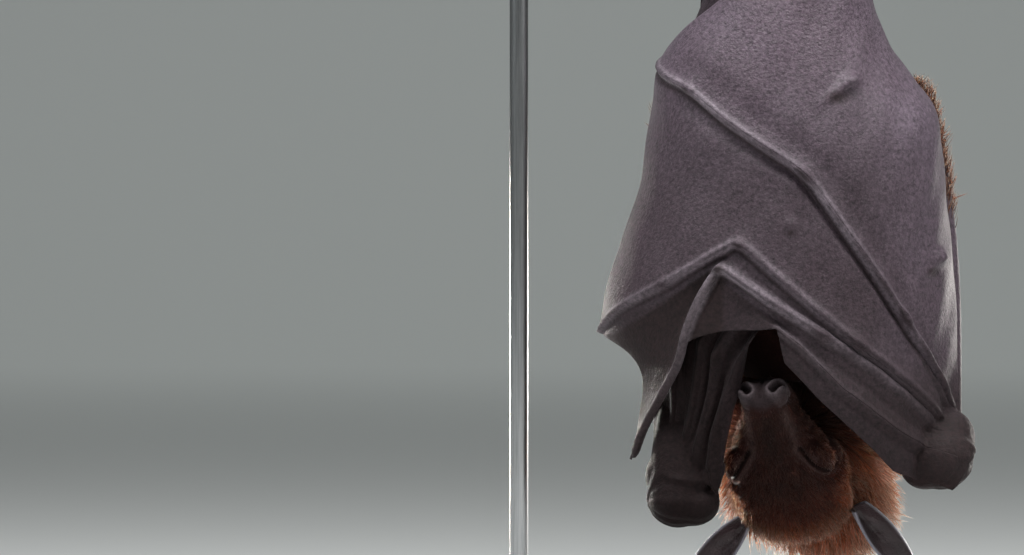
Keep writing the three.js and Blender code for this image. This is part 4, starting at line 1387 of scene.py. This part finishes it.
def perch_place(t, x, y):
    share = np.clip((t - CAP_SHARE) / (1 - 2 * CAP_SHARE), 0, 1)
    along_x = (0.5 - share) * PERCH["length"]
    turn = np.arctan2(y, x)
    rim = np.hypot(x, y) > 0.999
    ridges = 0.28 * np.sin(9 * turn + 0.05 * along_x + 1.3 * np.sin(along_x / 17))
    ridges += 0.2 * np.sin(17 * turn - 0.09 * along_x + 2 * np.sin(along_x / 9 + turn))
    ridges += 0.14 * np.sin(31 * turn + 0.21 * along_x) * np.sin(along_x / 2.3 + 3 * turn)
    for knot_x, knot_turn, size in ((-62, 1.0, 1.5), (48, -2.2, 1.8), (88, 0.4, 1.2)):
        swing = np.angle(np.exp(1j * (turn - knot_turn))) * PERCH["radius"]
        gap = np.hypot(along_x - knot_x, swing)
        ridges += size * bell(gap, 4.2) - size * 0.9 * bell(gap, 1.5)
    under_feet = 1 - 0.7 * bell(along_x - FEET_MIDDLE, 24) ** 0.5
    radius = perch_radius(along_x) - 0.35 + np.where(rim, ridges * under_feet, -0.1)
    middle = perch_middle(along_x)
    middle[:, 1] += x * radius
    middle[:, 2] += y * radius
    return middle * MM


def bark_finish():
    material, nodes, links, shader = new_material("bark")
    vector = object_coordinates(nodes, links, (0.3, 1, 1))
    plain = object_coordinates(nodes, links)
    broad = ramp(nodes, links, noise(nodes, links, vector, 130, 6, 0.65), (0.32, (0.045, 0.026, 0.018)),
                 (0.55, (0.13, 0.082, 0.058)), (0.75, (0.23, 0.175, 0.135)))
    flakes = ramp(nodes, links, noise(nodes, links, plain, 60, 4), (0.55, 0.0), (0.68, 0.55))
    outer = blend_colours(nodes, links, flakes, broad, (0.20, 0.19, 0.165))
    rings = nodes.new("ShaderNodeTexWave")
    rings.wave_type = "RINGS"
    rings.rings_direction = "X"
    rings.inputs["Scale"].default_value = 260
    rings.inputs["Distortion"].default_value = 1.5
    centred = nodes.new("ShaderNodeTexCoord")
    moved = nodes.new("ShaderNodeMapping")
    moved.inputs["Location"].default_value = (0, -PERCH["y"] * MM, -(PERCH["z"] - 1) * MM)
    links.new(centred.outputs["Object"], moved.inputs["Vector"])
    links.new(moved.outputs["Vector"], rings.inputs["Vector"])
    sawn = ramp(nodes, links, rings.outputs["Fac"], (0.2, (0.30, 0.19, 0.105)), (0.8, (0.44, 0.31, 0.185)))
    cut = attribute(nodes, "cut")
    links.new(blend_colours(nodes, links, cut, outer, sawn), shader.inputs["Base Color"])
    first = bump(nodes, links, noise(nodes, links, vector, 420, 6, 0.7), 0.7, 0.0012)
    links.new(first, shader.inputs["Normal"])
    shader.inputs["Roughness"].default_value = 0.85
    return material


branch = bent_ball("branch", perch_place, 96, 300)
branch_points = corners(branch) / MM
at_end = np.abs(branch_points[:, 0]) > PERCH["length"] / 2 - 0.01
height_attribute(branch, "cut", at_end.astype(float))
select(branch)
bpy.ops.object.shade_smooth_by_angle(angle=math.radians(50))
branch.data.materials.append(bark_finish())
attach(branch, "root")
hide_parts("perch")
report(branch)

# %% Stand
BASE = {"width": 300, "depth": 170, "height": 12, "corner": 18, "edge": 1.5}
ROD = {"radius": 3.5, "spread": 104, "saddle": 0.4}


def select_edges(piece, wanted):
    select(piece)
    bpy.ops.object.mode_set(mode="EDIT")
    bpy.ops.mesh.select_mode(type="EDGE")
    bpy.ops.mesh.select_all(action="DESELECT")
    bpy.ops.object.mode_set(mode="OBJECT")
    for edge in piece.data.edges:
        first, second = (piece.data.vertices[i].co for i in edge.vertices)
        edge.select = wanted(first, second)
    bpy.ops.object.mode_set(mode="EDIT")


def stained_wood_finish():
    material, nodes, links, shader = new_material("stained_wood")
    vector = object_coordinates(nodes, links, (0.12, 1, 1))
    grain = ramp(nodes, links, noise(nodes, links, vector, 160, 6, 0.6, 0.4), (0.35, (0.020, 0.013, 0.010)),
                 (0.65, (0.062, 0.040, 0.029)))
    links.new(grain, shader.inputs["Base Color"])
    links.new(bump(nodes, links, noise(nodes, links, vector, 600, 4), 0.15, 0.0004), shader.inputs["Normal"])
    shader.inputs["Roughness"].default_value = 0.42
    return material


def drawn_steel_finish():
    material, nodes, links, shader = new_material("drawn_steel")
    vector = object_coordinates(nodes, links, (1, 1, 0.02))
    tone = ramp(nodes, links, noise(nodes, links, vector, 1800, 3), (0.3, (0.26, 0.265, 0.27)),
                (0.7, (0.38, 0.385, 0.39)))
    links.new(tone, shader.inputs["Base Color"])
    links.new(bump(nodes, links, noise(nodes, links, vector, 2600, 2), 0.08, 0.0002), shader.inputs["Normal"])
    shader.inputs["Metallic"].default_value = 1.0
    shader.inputs["Roughness"].default_value = 0.34
    return material


deselect()
bpy.ops.mesh.primitive_cube_add(size=1)
board = bpy.context.object
board.name = "display_board"
board_size = np.array([BASE["width"], BASE["depth"], BASE["height"]])
move_corners(board, (corners(board) * board_size + (0, 0, BASE["height"] / 2)) * MM)
select_edges(board, lambda a, b: abs(a.z - b.z) > 1e-4)
bpy.ops.mesh.bevel(offset=BASE["corner"] * MM, segments=12, affect="EDGES")
select_edges(board, lambda a, b: abs(a.z - b.z) < 1e-5)
bpy.ops.mesh.bevel(offset=BASE["edge"] * MM, segments=4, affect="EDGES")
bpy.ops.object.mode_set(mode="OBJECT")
select(board)
bpy.ops.object.shade_smooth_by_angle(angle=math.radians(30))
board.data.materials.append(stained_wood_finish())
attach(board, "root")
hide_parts("stand_base")
report(board)
steel = drawn_steel_finish()
for side, sign in (("left", -1), ("right", 1)):
    x = sign * ROD["spread"]
    top = perch_middle(np.array([float(x)]))[0][2] - perch_radius(x) + ROD["saddle"]
    bottom = BASE["height"] + 0.05
    deselect()
    bpy.ops.mesh.primitive_cylinder_add(vertices=48, radius=ROD["radius"] * MM, depth=(top - bottom) * MM)
    rod = bpy.context.object
    rod.name = f"display_rod_{side}"
    move_corners(rod, corners(rod) + np.array([x, PERCH["y"], (top + bottom) / 2]) * MM)
    apply_modifier(rod, "BEVEL", width=0.5 * MM, segments=3)
    bpy.ops.object.shade_smooth_by_angle(angle=math.radians(40))
    rod.data.materials.append(steel)
    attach(rod, "root")
    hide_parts(f"stand_rod_{side}")
    report(rod)

# %% [markdown]
# ## The coat
# Fur could be grown as particle hair, but hair systems don't leave Blender as a mesh. Here each lock
# is a thin three-sided spike with its root in the skin, and thousands of them are built at once from
# arrays. A lock leans the way the hair lies, from the nose back over crown and neck and up the back,
# rises a little and bends down again, so the locks overlap like thatch.

# %% Locks from arrays
LOCK_STEPS = (0.0, 0.35, 0.7)
LOCK_SIDES = 3
BAKE_PATCH = 0.003
LOCK_WIDTHS = (1.0, 0.85, 0.5)
SUNK = 0.5


def unit_rows(vectors):
    return vectors / np.maximum(np.linalg.norm(vectors, axis=1), 1e-9)[:, None]


def scatter_roots(piece, density, count, seed):
    """Roots spread evenly over a skin where density(points, normals) allows them, and their normals."""
    random = np.random.default_rng(seed)
    piece.data.calc_loop_triangles()
    flat = np.empty(len(piece.data.loop_triangles) * 3, dtype=np.int32)
    piece.data.loop_triangles.foreach_get("vertices", flat)
    points, normals, triangles = corners(piece) / MM, corner_normals(piece), flat.reshape(-1, 3)
    a, b, c = (points[triangles[:, k]] for k in range(3))
    middle_normals = unit_rows(sum(normals[triangles[:, k]] for k in range(3)))
    area = np.linalg.norm(np.cross(b - a, c - a), axis=1) / 2
    weight = area * np.clip(density((a + b + c) / 3, middle_normals), 0, 1)
    chosen = random.choice(len(triangles), count, p=weight / weight.sum())
    first, second = np.sqrt(random.random(count))[:, None], random.random(count)[:, None]
    roots = a[chosen] * (1 - first) + b[chosen] * first * (1 - second) + c[chosen] * first * second
    return roots, middle_normals[chosen], random


def lock_faces(count):
    rings = len(LOCK_STEPS)
    faces = [(0, 2, 1)]
    for ring in range(rings - 1):
        for side in range(LOCK_SIDES):
            a, b = ring * LOCK_SIDES + side, ring * LOCK_SIDES + (side + 1) % LOCK_SIDES
            faces += [(a, b, b + LOCK_SIDES), (a, b + LOCK_SIDES, a + LOCK_SIDES)]
    last = (rings - 1) * LOCK_SIDES
    faces += [(last + side, last + (side + 1) % LOCK_SIDES, rings * LOCK_SIDES) for side in range(LOCK_SIDES)]
    each = rings * LOCK_SIDES + 1
    return (np.array(faces)[None] + each * np.arange(count)[:, None, None]).reshape(-1, 3), each


def mesh_from_arrays(name, points, triangles):
    mesh = bpy.data.meshes.new(name)
    mesh.vertices.add(len(points))
    mesh.vertices.foreach_set("co", (points * MM).ravel())
    mesh.loops.add(triangles.size)
    mesh.loops.foreach_set("vertex_index", triangles.ravel().astype(np.int32))
    mesh.polygons.add(len(triangles))
    mesh.polygons.foreach_set("loop_start", np.arange(0, triangles.size, 3, dtype=np.int32))
    mesh.update(calc_edges=True)
    piece = bpy.data.objects.new(name, mesh)
    bpy.context.collection.objects.link(piece)
    return piece


def grow_locks(name, roots, normals, random, lie, length, width, lift, droop, spread, unwrapped):
    """One coat piece. lie is the hair's direction at each root; length, width in mm, lift and droop
    say how far it rises from the skin and bends back, as shares of its length."""
    count = len(roots)
    length = length * random.uniform(0.7, 1.2, count)
    lift = lift * random.uniform(0.6, 1.4, count)
    lie = unit_rows(lie - normals * (lie * normals).sum(1)[:, None])
    x, y, z = roots.T
    clump = 0.32 * np.sin(x * 0.9 + 2 * np.sin(z * 0.5)) * np.sin(z * 0.8 + 1.5 * np.sin(y * 0.6))
    turn = (random.normal(0, spread, count) + clump)[:, None]
    sideways = np.cross(normals, lie)
    lie = lie * np.cos(turn) + sideways * np.sin(turn)
    sideways = np.cross(normals, lie)
    curl = random.normal(0, 0.10, count)
    width = width * random.uniform(0.7, 1.3, count)
    corners_at = np.radians(90 + 120 * np.arange(LOCK_SIDES))
    places = np.empty((count, len(LOCK_STEPS) * LOCK_SIDES + 1, 3))
    shares = np.empty(places.shape[1])
    for ring, s in enumerate((*LOCK_STEPS, 1.0)):
        rise_here = lift * s - droop * s * s
        centre = (roots - normals * SUNK * (1 - s) + lie * (length * s)[:, None]
                  + normals * (length * rise_here)[:, None] + sideways * (length * curl * s * s)[:, None])
        if ring == len(LOCK_STEPS):
            places[:, -1] = centre
            shares[-1] = 1
            continue
        for side, angle in enumerate(corners_at):
            across = sideways * math.cos(angle) + normals * (0.6 * math.sin(angle))
            at = ring * LOCK_SIDES + side
            places[:, at] = centre + across * (width * LOCK_WIDTHS[ring] / 2)[:, None]
            shares[at] = s
    triangles, each = lock_faces(count)
    piece = mesh_from_arrays(name, places.reshape(-1, 3), triangles)
    streak = 1 + 0.4 * np.sin(x * 2.3 + 3 * np.sin(z * 0.9)) * np.sin(y * 2.1 + 2 * np.sin(x * 1.1))
    base = coat_colour(roots) * (streak * random.uniform(0.55, 1.4, count))[:, None]
    pale = tip_paleness(roots) * random.uniform(0.3, 1.1, count)
    share = np.clip(pale[:, None] * shares[None] ** 2.2, 0, 1)[..., None]
    shade = (0.62 + 0.5 * shares)[None, :, None]
    colours = base[:, None] * shade * (1 - share) + TIP_CREAM * share
    colour_attribute(piece, "pelt", colours.reshape(-1, 3))
    bake = unwrapped(roots)[:, None] + BAKE_PATCH * np.stack(
        [np.tile([-0.5, 0, 0.5], len(LOCK_STEPS)).tolist() + [0], (shares - 0.5)], 1)[None]
    layer = piece.data.uv_layers.new(name="OFBake")
    layer.data.foreach_set("uv", bake.reshape(-1, 2)[triangles.ravel()].astype(np.float32).ravel())
    piece.data.polygons.foreach_set("use_smooth", np.ones(len(triangles), dtype=bool))
    piece.data.materials.append(HAIR_FINISH)
    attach(piece, "root")
    print(name, count, "locks,", len(triangles), "triangles")
    return piece


def hair_finish():
    material, nodes, links, shader = new_material("coat_hair")
    vector = object_coordinates(nodes, links)
    colour = attribute(nodes, "pelt", "Color")
    streaks = ramp(nodes, links, noise(nodes, links, vector, 900, 2), (0.3, 0.78), (0.7, 1.12))
    links.new(blend_colours(nodes, links, 1.0, colour, streaks, "MULTIPLY"), shader.inputs["Base Color"])
    shader.inputs["Roughness"].default_value = 0.5
    shader.inputs["Specular IOR Level"].default_value = 0.07
    shader.inputs["Subsurface Weight"].default_value = 0.5
    shader.inputs["Subsurface Radius"].default_value = (1.0, 0.6, 0.4)
    shader.inputs["Subsurface Scale"].default_value = 0.002
    shader.inputs["Sheen Weight"].default_value = 0.02
    shader.inputs["Sheen Roughness"].default_value = 0.4
    return material


HAIR_FINISH = hair_finish()


def head_unwrap(points):
    behind, aside, up = head_places(points)
    return np.stack([0.5 + 0.48 * np.arctan2(aside, up) / np.pi, 0.05 + 0.9 * np.clip(behind / 85, 0, 1)], 1)


def body_unwrap(points):
    turn = np.arctan2(points[:, 0] - 1, points[:, 1] - 9)
    return np.stack([0.5 + 0.48 * turn / np.pi, 0.05 + 0.9 * np.clip((points[:, 2] - 85) / 300, 0, 1)], 1)


# %% [markdown]
# ## How the hair lies
# Short hair on the face points back from the nose and parts round the eyes. The long ruff fans out
# behind the cheeks. On the hanging body the hair still runs from neck to rump, which is upwards.

# %% Lie of the hair
def head_lie(points, normals):
    behind, aside, up = head_places(points)
    fan = np.sign(aside) * np.clip(np.abs(aside) / 22, 0, 1) * rise(behind, 10, 50) * 0.45
    return -AHEAD + LATERAL * fan[:, None] + CROWN * (0.25 * rise(behind, 50, 75))[:, None]


def body_lie(points, normals):
    x, y, z = points.T
    low = 1 - rise(z + 0.5 * y, 112, 150)
    out = normals * np.array([1, 1, 0.2])
    upward = np.stack([0.12 * np.sign(x), 0.2 * np.ones_like(x), np.ones_like(x)], 1)
    back_down = -AHEAD + 0.7 * out
    turned = unit_rows(back_down) * low[:, None] + upward * (1 - low)[:, None]
    return turned


def within(value, low, high, soft=3.0):
    return rise(value, low - soft, low + soft) * (1 - rise(value, high - soft, high + soft))


def belongs_to_head(points):
    behind, aside, up = head_places(points)
    half, above, below = smooth_at(HEAD, np.clip(behind / HEAD_LENGTH, 0, 1)).T
    height = np.where(up > 0, above, below)
    return ((aside / (half + 1.5)) ** 2 + (up / (height + 1.5)) ** 2 < 1.5) & (behind < 75)


def face_density(points, normals):
    behind, aside, up = head_places(points)
    slit, share = line_gap(behind, np.abs(aside), *LID_SLIT)
    lid = 0.6 + 0.4 * rise(slit, 1.2, 5.5)
    return belongs_to_head(points) * rise(behind, 5.5, 10) * (1 - rise(behind, 42, 48)) * lid * (slit > 0.7)


def crown_density(points, normals):
    behind, aside, up = head_places(points)
    return belongs_to_head(points) * rise(behind, 38, 44)


def ruff_density(points, normals):
    x, y, z = points.T
    return (~belongs_to_head(points)) * (z < 152) * (1 - rise(y, 14, 22)) * rise(-z, -152, -138)


def nape_density(points, normals):
    x, y, z = points.T
    return (~belongs_to_head(points)) * rise(y, 8, 16) * (1 - rise(z, 160, 172))


def back_density_between(low_end, high_end):
    def density(points, normals):
        x, y, z = points.T
        exposed = np.maximum(rise(y, 6, 16), rise(z, 285, 296))
        return exposed * within(z, low_end, high_end, 2)

    return density


def puffed(roots, normals):
    """The ruff stands out at its lower rim and at its sides."""
    low = 1 - rise(roots[:, 2], 108, 128)
    return 0.45 * np.clip(-normals[:, 2], 0, 1) * low + 0.3 * np.abs(normals[:, 0]) ** 3 * low


# %% Coat pieces
behind_of = lambda points: head_places(points)[0]
roots, normals, random = scatter_roots(bat_skin, face_density, 12000, 11)
behind, aside, up = head_places(roots)
slit, share = line_gap(behind, np.abs(aside), *LID_SLIT)
face_length = (1.5 + 0.075 * behind) * (0.35 + 0.65 * rise(slit, 0.8, 6))
grow_locks("coat_face", roots, normals, random, head_lie(roots, normals), face_length,
           0.34, 0.34, 0.22, 0.26, head_unwrap)
roots, normals, random = scatter_roots(bat_skin, crown_density, 12000, 12)
crown_length = 4.6 + 6.0 * rise(behind_of(roots), 42, 74)
grow_locks("coat_crown", roots, normals, random, head_lie(roots, normals), crown_length,
           0.42, 0.42, 0.30, 0.22, head_unwrap)
roots, normals, random = scatter_roots(bat_skin, ruff_density, 12000, 13)
grow_locks("coat_ruff", roots, normals, random, body_lie(roots, normals), 12.5,
           0.52, 0.5 + puffed(roots, normals), 0.32, 0.24, body_unwrap)
roots, normals, random = scatter_roots(bat_skin, nape_density, 9000, 14)
grow_locks("coat_nape", roots, normals, random, body_lie(roots, normals), 12.0,
           0.56, 0.42 + puffed(roots, normals), 0.34, 0.20, body_unwrap)
BACK_STRETCHES = (("coat_shoulders", 160, 200, 15), ("coat_back", 200, 250, 16), ("coat_rump", 250, 318, 17))
for name, low_end, high_end, seed in BACK_STRETCHES:
    roots, normals, random = scatter_roots(bat_skin, back_density_between(low_end, high_end), 7000, seed)
    grow_locks(name, roots, normals, random, body_lie(roots, normals), 8.0,
               0.8, 0.36, 0.26, 0.16, body_unwrap)


def leg_density(points, normals):
    return rise(points[:, 2], 304, 314) * (1 - rise(points[:, 2], 366, 376))


roots, normals, random = scatter_roots(bat_skin, leg_density, 5000, 18)
grow_locks("coat_legs", roots, normals, random, body_lie(roots, normals),
           4.6 - 2.4 * rise(roots[:, 2], 320, 365), 0.55, 0.34, 0.22, 0.2, body_unwrap)

# %% Hair on the arms
def arm_density_of(wing):
    shoulder, elbow = (np.array(wing[part], float) for part in ("shoulder", "elbow"))

    def density(points, normals):
        share = np.clip(((points - shoulder) @ (elbow - shoulder)) / ((elbow - shoulder) @ (elbow - shoulder)), 0, 1)
        gap = np.linalg.norm(points - shoulder - share[:, None] * (elbow - shoulder), axis=1)
        outer = rise(points[:, 2], 205, 225)
        return np.clip((gap < 11) * 1.0 + 0.8 * outer, 0, 1)

    return density


for wing, seed in ((RIGHT, 21), (LEFT, 22)):
    arm = wing_pieces[wing["name"]][1]
    roots, normals, random = scatter_roots(arm, arm_density_of(wing), 4500, seed)
    along_arm = np.array(wing["elbow"], float) - wing["shoulder"]
    grow_locks(f"coat_arm_{wing['name']}", roots, normals, random,
               np.tile(along_arm, (len(roots), 1)) + normals * 10, 7.0, 0.5, 0.5, 0.24, 0.3, body_unwrap)
